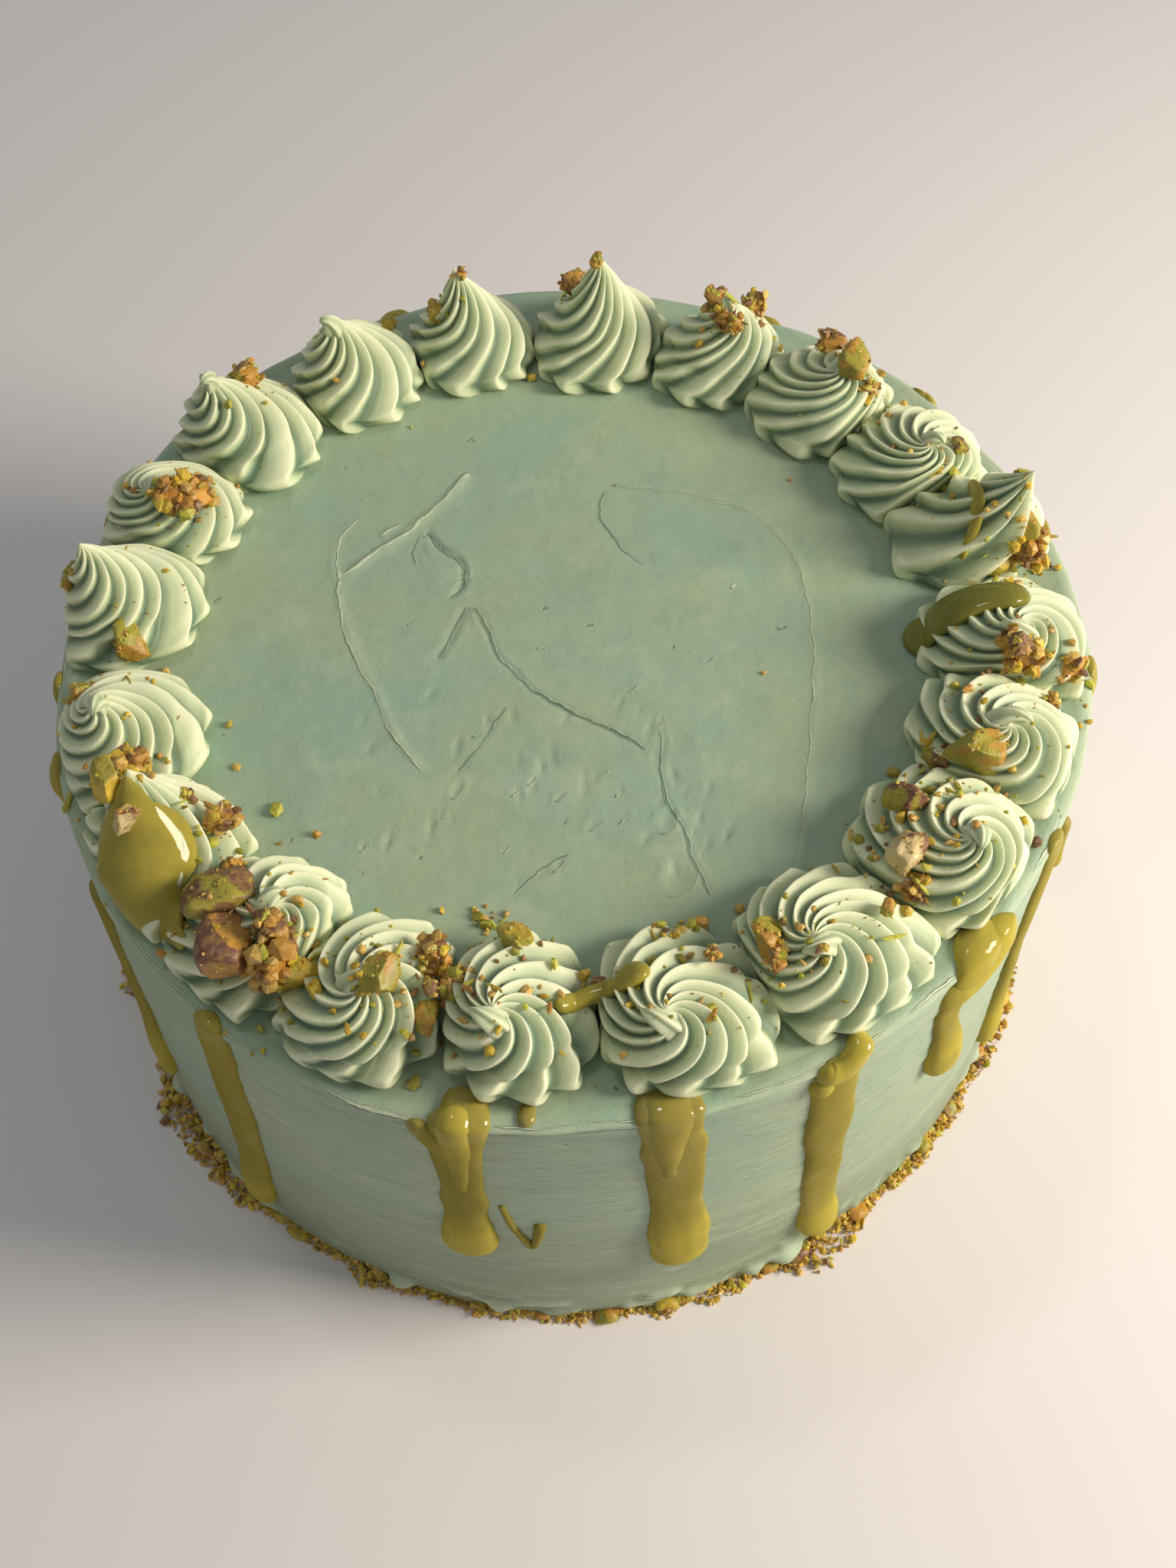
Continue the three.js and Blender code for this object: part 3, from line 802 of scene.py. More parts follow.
# %% The top
TOP_CELLS = 296  # cells along one side of the square grid
LIP_START = 0.955  # share of the grid's half width at which the lip begins
LIP = 2.4  # radius of the lip
LIP_SHARE = 0.72  # how much of half a circle the grid goes round it
LIP_BACK = 1.1  # how far it would go back in, in its second quarter of a circle
LIP_DROP = 0.85  # how far it drops in the first
LIP_OVER = 0.35  # how far the lip hangs past the wall
LIP_FRAY = 0.55  # how far its nicks go in and out
LIP_LINE = 0.9  # how far inside the rim its painted highlight line runs
UNDERSIDE = 2.6  # how far below the cake's top its skin of icing ends


def disc_grid(cells):
    """A square grid as a disc: the longer coordinate is the radius, their ratio is the angle."""
    line = np.linspace(-1, 1, cells + 1)
    x, y = (a.ravel() for a in np.meshgrid(line, line, indexing="ij"))
    wide = np.abs(x) >= np.abs(y)
    safe = np.where(np.maximum(np.abs(x), np.abs(y)) == 0, 1, np.where(wide, x, y))
    quarter = 0.25 * math.pi * np.where(wide, y, x) / safe
    angle = np.where(wide, quarter, 0.5 * math.pi - quarter)
    return np.where(wide, x, y), angle


def disc_faces(cells):
    """Squares of the grid, and one ring of points round it in order."""
    index = np.arange((cells + 1) ** 2).reshape(cells + 1, cells + 1)
    squares = np.stack([index[:-1, :-1], index[1:, :-1], index[1:, 1:], index[:-1, 1:]], -1)
    border = np.concatenate([index[:-1, 0], index[-1, :-1], index[:0:-1, -1], index[0, :0:-1]])
    return squares.reshape(-1, 4), border


def closed_disc(points, top):
    """The disc at its heights, a skirt down from its border, and a fan as its flat underside."""
    squares, border = disc_faces(TOP_CELLS)
    under = np.column_stack([0.97 * points[border], np.full(len(border), CAKE_HEIGHT - UNDERSIDE)])
    centre = np.array([[0, 0, CAKE_HEIGHT - UNDERSIDE]])
    start = len(points)
    below = start + np.arange(len(border))
    skirt = np.stack([border, np.roll(border, -1), np.roll(below, -1), below], -1)
    fan = np.stack([below, np.roll(below, -1), np.full(len(border), start + len(border))], -1)
    every = np.concatenate([np.column_stack([points, top]), under, centre])
    return every, np.concatenate([squares, skirt]), fan


def top_shape():
    """The relief on the disc, with its outer rings turned over the lip, and all its marks."""
    signed, angle = disc_grid(TOP_CELLS)
    share = np.abs(signed)
    bearing = angle + np.where(signed < 0, math.pi, 0)
    compass = outward(bearing)[:, :2]
    rim = CAKE_RADIUS + wall_wave(bearing, CAKE_HEIGHT) + LIP_OVER
    level = rim[:, None] * outward(bearing)
    rim = rim + LIP_FRAY * clouds(level, 16, 41) * 0.8
    flat = np.minimum(1, share / LIP_START)
    turn = np.clip((share - LIP_START) / (1 - LIP_START), 0, 1) * LIP_SHARE * math.pi
    radius = flat * (rim - LIP) + LIP * np.sin(np.minimum(turn, 0.5 * math.pi))
    radius = radius - LIP_BACK * (1 - np.cos(np.maximum(0, turn - 0.5 * math.pi)))
    points = compass * radius[:, None]
    height, grooves, ridges = top_relief(points)
    lip = np.exp(-(((rim - LIP - radius) / 1.3) ** 2)) * (turn < 0.6)
    drop = LIP_DROP * (1 - np.cos(turn))
    fade = 1 - ease(0, 1.2, turn)
    top = CAKE_HEIGHT + height * fade + 0.25 * lip - drop
    shape = closed_disc(points, top)
    rest = np.zeros(len(shape[0]) - len(points))
    # The ridge mark: the seams' height, and a painted highlight where the lip turns over.
    ridge_mark = np.clip(ridges + 0.7 * ease(0.1, 1.0, turn) * (turn < 1.9), 0, 1)
    cut_side, cut_near = line_marks(points, [(row[0], row[4]) for row in CUTS])
    seam_side, seam_near = line_marks(points, [(row[0], row[3]) for row in SEAMS], BLISTERS)
    # Painted highlight: a frayed pale line along the lip's edge, drawn with the seam marks.
    edge = radius - (rim - LIP_LINE)
    at_edge = (np.abs(edge) < 2.5) & (turn < 1.5)
    seam_side = np.where(at_edge, edge + 0.5 * cloud(level, 9, 44), seam_side)
    seam_near = np.where(at_edge, np.clip(0.16 + 0.75 * clouds(level, 11, 43), 0, 1), seam_near)
    marks = {"groove": grooves, "ridge": ridge_mark, "cut_side": cut_side, "cut_near": cut_near}
    marks |= {"seam_side": seam_side, "seam_near": seam_near}
    marks = {name: np.concatenate([values, rest]) for name, values in marks.items()}
    return shape, marks


top, top_marks = top_shape()
add_piece("iced_top", top, SMOOTH, ["cake_body"], top_marks)
print("top:", len(top[0]), "points, up to", round(top[0][:, 2].max(), 2), "mm")

# %% [markdown]
# A rosette is cream pressed through a star-shaped tip. Its teeth leave ridges, and the turn of the
# hand sweeps them round, so they meet the edge almost along it. It could be a star profile swept
# up a helix, but a turned body with ridges added along its surface keeps every ridge whole and
# the grid even. One side of a ridge is long, and the other drops steeply into the next valley.

# %% Sizes of the piping
LOW_BODY = 13.0  # height of a rosette's rounded body, below its drawn-out peak
BELLY_RISE = 0.24  # where its widest ring is, as a share of that height
OVAL = 0.05  # how far a rosette's plan strays from a circle
SQUEEZE = 3.0  # how softly a rosette flattens against the one beside it
PRESS = 0.9  # how far its lobes reach past the plane between two rosettes
RING_MARGIN = 1.4  # how far inside the wall the piping stays
RIDGE_DEPTH = 3.6  # from crest to valley, at most
SWEEP_POWER = 0.85  # the sweep of a ridge grows by this power of the way out
# Each rosette: bearing, distance from the middle, radius, height, lean outwards, lean along the
# ring, number of ridges, how far they sweep, and length and direction of the nose at its peak
ROSETTES = [
    (81, 85.5, 15.5, 26.5, 0, 0, 11, 150, 0, 0),
    (62.5, 85.5, 14.5, 18, 2, -3, 11, 150, 5, 30),
    (45.5, 85.5, 16, 15, 1, -6, 11, 170, 6, -60),
    (27.5, 87.5, 16.5, 14, 0, -6, 12, 150, 5, -90),
    (13, 88, 16, 26, 8, -8, 8, 110, 0, 0),
    (-6, 90, 17, 15, 0, -5, 9, 220, 8, 150),
    (-22, 89.5, 17, 14.5, 1, -5, 9, 220, 9, -20),
    (-39.5, 88, 17.5, 15, 6, -3, 9, 230, 7, -70),
    (-59, 89, 17.5, 14.5, 1, -6, 12, 150, 8, -120),
    (-78, 88.5, 16.5, 14.5, 5, -5, 11, 155, 8, -150),
    (-96.5, 86, 15, 15.5, 6, -4, 11, 135, 7, -130),
    (-114.5, 88.5, 16, 14.5, 4, 2, 11, 150, 8, 100),
    (-130.5, 88.5, 16.5, 14.5, -3, 5, 11, 130, 6, 140),
    (-146.5, 90, 16.5, 23.5, -1, -6, 11, 120, 0, 0),
    (-165.5, 87, 16, 20, 4, 4, 9, 230, 5, 60),
    (172.5, 88.5, 16, 26, 3, 4, 9, 230, 0, 0),
    (155, 88.5, 15, 15, 1, 5, 9, 240, 5, 90),
    (137.5, 88.5, 16, 21, 4, 6, 10, 180, 4, 90),
    (118.5, 87, 15, 21, 1, 5, 11, 150, 4, 60),
    (100.5, 86, 14.5, 25, 0.5, 2.5, 11, 150, 0, 0),
]
BEARINGS = np.radians([row[0] for row in ROSETTES])
FEET = np.array([row[1] for row in ROSETTES])[:, None] * outward(BEARINGS) + cake_top * UP
RADII = np.array([row[2] for row in ROSETTES], float)
print(len(ROSETTES), "rosettes,", round(np.hypot(*(FEET[0] - FEET[1])[:2]), 1), "mm apart")


# %% Body of a rosette
def soften(over):
    """The distance itself below nothing, and above it one that tends to a limit."""
    return np.where(over > 0, SQUEEZE * (1 - np.exp(-np.maximum(over, 0) / SQUEEZE)), over)


def squeeze(points, k):
    """Past the plane to a neighbour, or past the rim, a distance is softened and tends to a limit."""
    for step in (1, -1):
        other = (k + step) % len(ROSETTES)
        across = FEET[other] - FEET[k]
        length = np.linalg.norm(across)
        start = length * RADII[k] / (RADII[k] + RADII[other]) + PRESS - SQUEEZE
        over = (points - FEET[k]) @ (across / length) - start
        points = points + (soften(over) - over)[..., None] * across / length
    bearing = np.arctan2(points[..., 1], points[..., 0])
    reach = np.hypot(points[..., 0], points[..., 1])
    limit = CAKE_RADIUS + wall_wave(bearing, CAKE_HEIGHT) - RING_MARGIN - SQUEEZE
    kept = (limit + soften(reach - limit)) / reach
    return points * np.stack([kept, kept, np.ones_like(kept)], -1)


def rise(share, height):
    """A rounded body, a power of one less a power of the share, and a drawn-out peak over it."""
    body = min(LOW_BODY, height) * (1 - np.minimum(1, share) ** 2.4) ** 0.62
    return body + max(0, height - LOW_BODY) * np.maximum(0, 1 - share / 0.6) ** 1.4


def rounded(places, shares):
    """A line with its corners cut three times, at shares of its length in its first two columns."""
    line = cut_corners(places, 3)
    length = length_along(line)
    return np.column_stack([np.interp(shares * length[-1], length, column) for column in line.T])


def beside_foot(k, out, along):
    """A place so far outwards from the middle of a rosette's foot, and so far along the ring."""
    return FEET[k] + out * outward(BEARINGS[k]) + along * sideways(BEARINGS[k])


def ridge_wave(turns):
    """For each arm, 1 on its thin crest: a steep side behind it, and a long hollow one before it."""
    past = turns - np.floor(turns)
    steep = 0.5 + 0.5 * np.cos(math.pi * np.minimum(1, past / 0.34))
    share = np.maximum(0, (past - 0.34) / 0.66)
    hollow = 0.5 * share**1.6 + 0.5 * ease(0, 1, share)
    return np.where(past < 0.34, steep, hollow)


print("a ridge across, in tenths:", ridge_wave(np.linspace(0, 1, 11)).round(2))

# %% [markdown]
# The tip goes round once at the foot before it rises, so a rosette has a lower turn that the upper
# one lies on. A soft notch winds up the side like a thread and parts the two. At the end the tip
# is pulled away: on tall rosettes straight up, on low ones aside, which leaves a short curled nose.

# %% Piping of a rosette
ROSETTE_RINGS, AROUND = 88, 228
NOSE_RINGS, NOSE_AROUND = 34, 48


def lower_turn(turn, z, k):
    """A notch that climbs from 2 to 8 mm in one turn, and a bulge below it, as a move outwards."""
    share = np.mod((turn - BEARINGS[k] + math.pi - 0.6 * np.sin(2.3 * k)) / TURN, 1)
    middle = 2.2 + 5.8 * share
    strength = np.sin(math.pi * share) ** 0.7
    notch = np.exp(-(((z - middle) / 1.2) ** 2))
    below = ease(middle + 0.5, middle - 1.5, z) * ease(-0.5, 1.2, z)
    return strength * (0.9 * below - 1.5 * notch)


def rosette_shape(k):
    """Rings of a turned profile from the peak down, ridged along its normals, swept, leant, pressed."""
    _, _, radius, height, lean_out, lean_round, arms, sweep_end, _, _ = ROSETTES[k]
    shares = np.array([0.0, 0.03, 0.1, 0.22, 0.35, 0.52, 0.68, 0.84, 0.93])
    corners = [(s * radius, h) for s, h in zip(shares, rise(shares, height))]
    corners += [(radius, BELLY_RISE * LOW_BODY), (0.97 * radius, 1.2), (0.91 * radius, -0.8)]
    line = rounded(corners, np.linspace(0, 1, ROSETTE_RINGS))
    slope = np.gradient(line, axis=0)
    facing = unit(np.column_stack([-slope[:, 1], slope[:, 0]]))
    out, z = line[:, :1], line[:, 1:]
    column = even_turn(AROUND)
    arm = np.floor(column / TURN * arms + 0.65)
    wobble = 0.16 * np.sin(2 * column + 3.1 * k) + 0.08 * np.sin(5 * column + 1.3 * k)
    crest = ridge_wave(column / TURN * arms + wobble * ease(2, 9, out))
    share = np.clip(out / radius, 0, 1)
    steepness = SWEEP_POWER * math.radians(sweep_end) * share**SWEEP_POWER
    apart = TURN * out / arms / np.sqrt(1 + steepness**2)
    strength = 0.92 + 0.4 * (draw(arm % arms + 40 * k) - 0.5)
    depth = np.minimum(RIDGE_DEPTH, 0.70 * apart) * strength * (0.45 + 0.55 * ease(-1, 2, z))
    relief = depth * (crest - 0.52)
    turn = column - math.radians(sweep_end) * share**SWEEP_POWER + k
    uneven = 1 + OVAL * np.sin(2 * turn + 1.7 * k)
    lean = np.clip(z / height, 0, 1) ** 1.3
    reach = out * uneven + relief * facing[:, :1] + lower_turn(turn, z, k) * ease(0.55, 0.85, share)
    centre = beside_foot(k, (lean * lean_out)[..., None], (lean * lean_round)[..., None])
    points = centre + reach[..., None] * outward(turn) + (z + relief * facing[:, 1:])[..., None] * UP
    shift = np.stack([clouds(points, 9, k + s, 2) for s in (60, 90, 120)], -1)
    points = points + shift * (0.30, 0.30, 0.35) * ease(-1, 3, z)[..., None]
    # The mark for height, which the finish paints as shade and highlight; the peak counts as a crest.
    mark = crest * ease(0, 2.5, out) + (1 - ease(0, 2.5, out))
    return closed_rings(squeeze(points, k)), with_ends(mark)


def nose_shape(k):
    """A ridged horn: it rises out of the peak, bends over to one side and thins to a point."""
    _, _, _, height, lean_out, lean_round, _, _, length, direction = ROSETTES[k]
    share = np.linspace(0, 1, NOSE_RINGS)[:, None]
    aim = BEARINGS[k] + math.radians(direction) + 1.1 * (1 - share[:, 0])
    step = outward(aim) * (length / NOSE_RINGS) * ease(-0.4, 0.6, share)
    middle = beside_foot(k, lean_out, lean_round)
    middle = middle - 0.35 * length * outward(aim[-1:]) + np.cumsum(step, axis=0)
    middle = middle + (height - 4.4 + 5.0 * np.sin(0.62 * math.pi * share)) * UP
    along = unit(np.gradient(middle, axis=0))
    across = unit(np.cross(along, UP))
    above = np.cross(across, along)
    turn = even_turn(NOSE_AROUND)
    crest = ridge_wave(5 * turn / TURN + 1.1 * share)
    thick = 2.4 * (1 - share**1.6) ** 0.8 * (0.7 + 0.3 * ease(0, 0.3, share)) + 0.12
    reach = thick * (1 + 0.30 * (crest - 0.5))
    points = middle[:, None] + (reach * np.cos(turn))[..., None] * across[:, None]
    points = points + (reach * np.sin(turn))[..., None] * above[:, None]
    return closed_rings(points), with_ends(0.3 + 0.5 * crest)


rosettes = []
for k, (*_, nose_length, _) in enumerate(ROSETTES):
    shape, crest = rosette_shape(k)
    if nose_length:
        nose, nose_crest = nose_shape(k)
        shape, crest = joined([shape, nose]), np.concatenate([crest, nose_crest])
    node = f"rosette_{k + 1:02d}"
    add_piece("piped_" + node, shape, PIPED, [node], {"crest": crest})
    rosettes.append(shape)
print("rosette of", len(shape[0]), "points, volumes in ml:", round(volume(*shape) / 1000, 1))

# %% [markdown]
# Pistachio cream is thick, oily and glossy. Where it runs thin it is a dull olive brown, and in the
# heavy drop at the end of a run it is a clear mustard yellow. So the mesh carries a mark for how
# thick the cream is there, and the finish goes from one colour to the other by it. A second mark
# says how wet it is: the cream near the rim still shines, and what crept down the wall has dried.

# %% Pistachio cream
OLIVE, MUSTARD = (0.29, 0.24, 0.055), (0.47, 0.375, 0.055)
MARBLING = (0.25, 0.215, 0.045)
PALE_FILM = (0.40, 0.325, 0.115)
POOL_SHADE_OLIVE = (0.165, 0.165, 0.028)


def pistachio_cream():
    """Olive brown where thin and mustard where thick, with marbling, a pale film and painted shade,
    under a coat.
    """
    cream = Finish("pistachio_cream")
    thick = cream.mark("thick")
    marble = cream.noise(5, 3, 0.55, stretch=(1, 1, 0.45))
    colour = cream.blend(OLIVE, MUSTARD, thick.between(0.10, 0.90))
    colour = cream.blend(colour, MARBLING, marble.between(0.48, 0.72) * 0.55)
    film = cream.noise(8, 3, 0.6, stretch=(1, 1, 0.7)).between(0.50, 0.72)
    colour = cream.blend(colour, PALE_FILM, film * (1 - thick.between(0.2, 0.7)) * 0.6)
    # Painted shade: some pools are mixed towards a dark olive by their own mark.
    colour = cream.blend(colour, POOL_SHADE_OLIVE, cream.mark("deep"))
    roughness = 0.20 + cream.noise(9, 2) * 0.12
    height = cream.noise(9, 2) * 0.8 + marble * 0.5
    return cream.surface(
        colour, roughness, height, 0.18,
        Subsurface_Weight=0.10, Subsurface_Radius=(1.0, 0.8, 0.1), Subsurface_Scale=0.002,
        Coat_Weight=cream.mark("wet"), Coat_Roughness=0.05, Specular_IOR_Level=0.0,
    )


CREAM = pistachio_cream()
print("finish:", CREAM.name)

# %% [markdown]
# A run starts as a puddle on the top, turns over the rim and creeps down the wall until it sets
# with a heavy drop at its end. Later pours lie over the first, so a run is one to three strips on
# each other, and those at the back have theirs as a second piece. A strip is drawn on the icing
# unrolled, along the rim and down from it, and each point is then carried to its place over the
# rim or on the wall. Its lower half is sunk in the icing.

# %% Sizes of the runs
RIM_TURN = 2.6  # how far from the edge a strip begins to turn over it
STRIP_RINGS, STRIP_AROUND = 90, 32
WAVER = 0.10  # how much the width and thickness of poured cream stray
# Each strip: bearing, way down from the rim, half width and thickness at some places along it.
# A way down of less than nothing is on the top.
FRONT_STRIPS = [
    [(-103, -6.5, 2.4, 1.8), (-101.4, -3, 6.0, 2.2), (-101.7, 3, 5.6, 2.1), (-102.4, 11, 5.1, 1.7),
     (-102.3, 25, 4.4, 1.5), (-102.5, 40, 4.3, 1.7), (-102.6, 50, 5.5, 3.4), (-102.9, 61.5, 5.1, 3.7)],
    [(-106, 0, 1.8, 1.9), (-104.4, 4, 2.4, 2.0), (-102.8, 11, 2.8, 2.0)],
    [(-101.9, -4, 3.6, 3.0), (-102, 5, 3.8, 2.5), (-102.1, 16, 2.6, 2.1), (-102.3, 28, 1.8, 1.8)],
    [(-82.2, -7, 6.4, 1.5), (-82, 3, 6.1, 1.8), (-81.5, 15, 5.7, 1.6), (-81.2, 30, 5.6, 1.5),
     (-80.9, 47, 5.7, 1.8), (-80.5, 58, 6.6, 3.4), (-80.4, 72, 6.0, 3.8)],
    [(-82, -6, 4.8, 1.9), (-82.1, 6, 4.0, 2.1), (-82.1, 13, 2.8, 2.1), (-81.9, 25, 2.2, 1.9)],
    [(-95.4, -5, 1.5, 1.2), (-95.3, -0.5, 1.8, 1.6)],
    [(-76.4, -5.5, 1.2, 0.8), (-75, -5, 1.3, 0.9)],
    [(-98.7, 35, 0.7, 1.0), (-98.1, 45, 0.8, 1.0), (-97.2, 51, 0.8, 1.0), (-96.2, 58, 0.9, 1.1),
     (-95.5, 53, 0.9, 1.1), (-95, 44, 1.3, 1.3)],
    [(-65.9, -1, 5.2, 2.0), (-65.2, 8, 5.5, 1.9), (-64.5, 30, 5.1, 1.6), (-63.9, 55, 4.6, 1.6),
     (-63.4, 72, 4.0, 1.9), (-63, 79, 5.3, 3.6), (-62.4, 90.5, 4.8, 3.7)],
    [(-67.6, 0.5, 2.4, 2.6), (-66.2, 2.5, 2.9, 3.1), (-64, 1, 2.3, 3.0), (-61.8, -2.4, 2.2, 2.8)],
    [(-67.2, 2, 2.2, 2.4), (-66.9, 9, 2.8, 2.8)],
    [(-44, -4, 5.0, 2.4), (-46.4, 1, 7.4, 2.8), (-49.2, 7, 6.4, 2.4), (-50.4, 13, 4.0, 1.8),
     (-49.6, 22, 3.2, 1.7), (-48.8, 31, 4.8, 3.2), (-48.2, 42, 4.9, 3.9)],
    [(-52.2, 3, 2.8, 1.9), (-50, 6.5, 4.8, 2.8), (-46.8, 6.5, 5.8, 3.3), (-43.6, 3, 5.2, 3.3),
     (-41.6, -1, 3.6, 2.6)],
    [(-31, -1, 4.2, 2.0), (-31.6, 14, 3.4, 2.0), (-32.2, 40, 2.8, 1.9), (-32.6, 58, 3.0, 2.3),
     (-32.8, 66, 4.4, 3.6), (-33, 76, 4.0, 3.6)],
    [(-27.6, 2, 1.8, 1.8), (-27.2, 12, 2.2, 2.2), (-27, 19, 2.8, 3.0)],
    [(-128, -2, 3.8, 2.2), (-128.6, 8, 4.9, 2.1), (-130, 35, 4.9, 1.7), (-131.2, 62, 4.6, 1.7),
     (-132, 78, 4.4, 2.0), (-132.6, 84, 5.2, 3.0), (-132.8, 95, 4.6, 3.2)],
    [(-149.5, 2, 4.0, 1.6), (-149.7, 18, 3.8, 1.6), (-149.9, 50, 3.6, 1.7), (-150, 66, 4.4, 3.0),
     (-150, 79, 4.2, 3.2)],
]
BACK_RUNS = [  # bearing, how far it wanders, length, half width
    (-166, -2, 50, 3.8), (-8, 2, 56, 4.0), (13, -2, 84, 4.3), (37, 3, 44, 3.7), (60, 1, 72, 4.0),
    (84, -3, 90, 4.6), (109, 2, 58, 3.8), (133, -1, 78, 4.2), (157, 3, 66, 4.0), (-178, 2, 30, 3.2),
]
print("strips at the front:", len(FRONT_STRIPS), "runs at the back:", len(BACK_RUNS))


# %% The runs
def back_strip(bearing, wander, length, half):
    """Stations of a plain run: wide under the rim, narrow on the way, and a heavy drop at its end."""
    shares = [
        (-0.01, 1.25, 2.2), (0.08, 1.25, 2.2), (0.25, 0.95, 1.7), (0.6, 0.85, 1.6), (0.80, 0.95, 2.0),
        (0.88, 1.2, 3.2), (1, 1.05, 3.5),
    ]
    return [(bearing + wander * s, s * length, wide * half, thick) for s, wide, thick in shares]


def back_lobe(bearing, wander, length, half):
    """Stations of the later pour over a run: a lobe under the rim that ends in a short tongue."""
    lean = 1.6 if wander > 0 else -1.6
    return [
        (bearing - 0.8 * lean, 0, 0.8 * half, 2.2), (bearing - 0.4 * lean, 3, 1.1 * half, 2.9),
        (bearing + 0.2 * lean, 8, 0.85 * half, 2.6),
        (bearing + 0.3 * lean, 10 + 0.15 * length, 0.5 * half, 2.0),
    ]


def onto_icing(arc, down, proud):
    """A place an arc round the cake and a way down from the rim, standing proud of the icing there."""
    bearing = arc / CAKE_RADIUS
    bend = 0.5 * math.pi * ease(-RIM_TURN, RIM_TURN, down)
    wall = CAKE_RADIUS + wall_wave(bearing, CAKE_HEIGHT - np.maximum(0, down)) - 0.2
    reach = wall - np.maximum(0, -down) + proud * np.sin(bend)
    height = CAKE_HEIGHT - 0.2 - np.maximum(0, down) + proud * np.cos(bend)
    return reach[..., None] * outward(bearing) + height[..., None] * UP


def round_off(distance, half):
    """From 0 at the end of a strip to 1 at half its width away, along a quarter of a circle."""
    return np.sqrt(np.clip(1 - (1 - np.minimum(1, distance / half)) ** 2, 0, 1))


def crowded(count):
    """Shares from 0 to 1 that crowd at both ends, as even steps round half a circle do."""
    return (1 - np.cos(np.linspace(0.06, math.pi - 0.06, count))) / 2


def strip_shape(stations, seed):
    """A line bent through the stations, with a shallow arch across it, rounded off at both ends."""
    places = np.array(stations, float)
    places[:, 0] = np.radians(places[:, 0]) * CAKE_RADIUS
    shares = crowded(STRIP_RINGS)
    line = rounded(places, shares)
    length = np.hypot(*np.diff(rounded(places, np.linspace(0, 1, 60))[:, :2], axis=0).T).sum()
    along = unit(np.gradient(line[:, :2], axis=0))
    travelled = shares * length
    track = np.column_stack([0 * travelled, travelled, 0 * travelled + 7 * seed])
    half = line[:, 2] * (1 + WAVER * cloud(track, 7, seed))
    ring = round_off(travelled, half) * round_off(length - travelled, half)
    thick = line[:, 3] * (1 + WAVER * cloud(track, 9, seed + 9))
    turn = even_turn(STRIP_AROUND)
    across = (half * ring)[:, None] * np.cos(turn)
    plump = np.maximum(0, np.sin(turn)) ** 0.8 - 0.35 * np.maximum(0, -np.sin(turn))
    proud = (thick * ring)[:, None] * plump
    arc, down = line[:, :1] - across * along[:, 1:], line[:, 1:2] + across * along[:, :1]
    thick_mark = np.clip((line[:, 3:] - 1.4) / 1.8, 0, 1)
    wet_mark = 0.65 * (1 - ease(-2, 4, line[:, 1:2])) + 0.14 * thick_mark
    marks = (with_ends(mark + 0 * turn) for mark in (thick_mark, wet_mark))
    return closed_rings(onto_icing(arc, down, proud)), *marks


def add_strips(name, strips, first_seed):
    """Makes one piece of several strips, each with a seed of its own."""
    shapes, thick, wet = zip(*(strip_shape(strip, first_seed + i) for i, strip in enumerate(strips)))
    marks = {"thick": np.concatenate(thick), "wet": np.concatenate(wet)}
    add_piece(name, joined(shapes), CREAM, ["cake_body"], marks)
    print(name + ":", len(strips), "strips with", sum(len(shape[0]) for shape in shapes), "points")


add_strips("pistachio_runs", FRONT_STRIPS + [back_strip(*row) for row in BACK_RUNS], 0)
add_strips("pistachio_lobes", [back_lobe(*row) for row in BACK_RUNS[::2] + BACK_RUNS[3::4]], 60)

# %% [markdown]
# Drizzle also lies on four rosettes: a wide pool that slides off one, a fat dollop beside another
# and thin streaks across two. Cream like this hugs what it lies on, so each one is drawn in plan,
# as a line with a width, and its upper side is the rosette's own smooth body plus a thickness.

# %% Drizzle on the rosettes
POOLS = [  # rosette, how much painted shade darkens it, then out, round, least height, half width and thickness
    (14, 0.22, [
        (0.0, -5.4, 0, 1.6, 1.8), (1.2, -3.4, 0, 4.6, 2.8), (2.6, -1.6, 0, 8.2, 3.2),
        (3.4, 3.4, 0, 10.2, 3.2), (6.2, 9.4, 0, 6.6, 3.2), (5.8, 13.8, 0, 3.2, 3.4),
        (6.6, 18, 0, 1.3, 1.8), (6.4, 21.5, 0, 1.0, 1.4),
    ]),
    (6, 0.85, [
        (-20.2, 1.5, 0, 4.6, 3.4), (-15.5, 1.5, 0, 5.4, 3.4), (-10.5, 2.4, 0, 5.0, 3.0),
        (-6, 3.4, 0, 4.6, 2.5), (-1.5, 3.6, 0, 4.6, 2.4), (3.4, 3.2, 0, 3.6, 2.2),
    ]),
    (11, 0.35, [
        (3.0, 6.4, 8, 1.3, 1.3), (0.7, 9.3, 8.2, 1.7, 1.6), (-0.8, 11.9, 8.4, 1.6, 1.6),
        (-1.5, 14.4, 8.6, 1.8, 1.8), (-2.2, 17, 8.8, 2.1, 2.0), (-3.6, 19.2, 9, 2.9, 2.4),
        (-6.2, 20.8, 9, 2.4, 2.2),
    ]),
    (5, 0.15, [
        (0.8, 2.4, 0, 0.8, 1.6), (-0.4, -2.5, 0, 1.1, 1.9), (-1.5, -6.4, 0, 1.3, 1.9),
        (-3.0, -8.8, 0, 1.2, 1.8), (-6.0, -11, 0, 0.8, 1.4),
    ]),
]
STEP_UP = 0.2  # how far over a rosette's foot its dressing stays
LEAN_GUESSES = 12
POOL_RINGS, POOL_AROUND = 60, 40


def onto_rosette(points, k):
    """Turns a rosette's own coordinates to its place in the ring, pressed and kept above its foot."""
    placed = beside_foot(k, points[..., :1], points[..., 1:2]) + points[..., 2:] * UP
    placed = squeeze(placed, k)
    placed[..., 2] = np.maximum(placed[..., 2], cake_top + STEP_UP)
    return placed


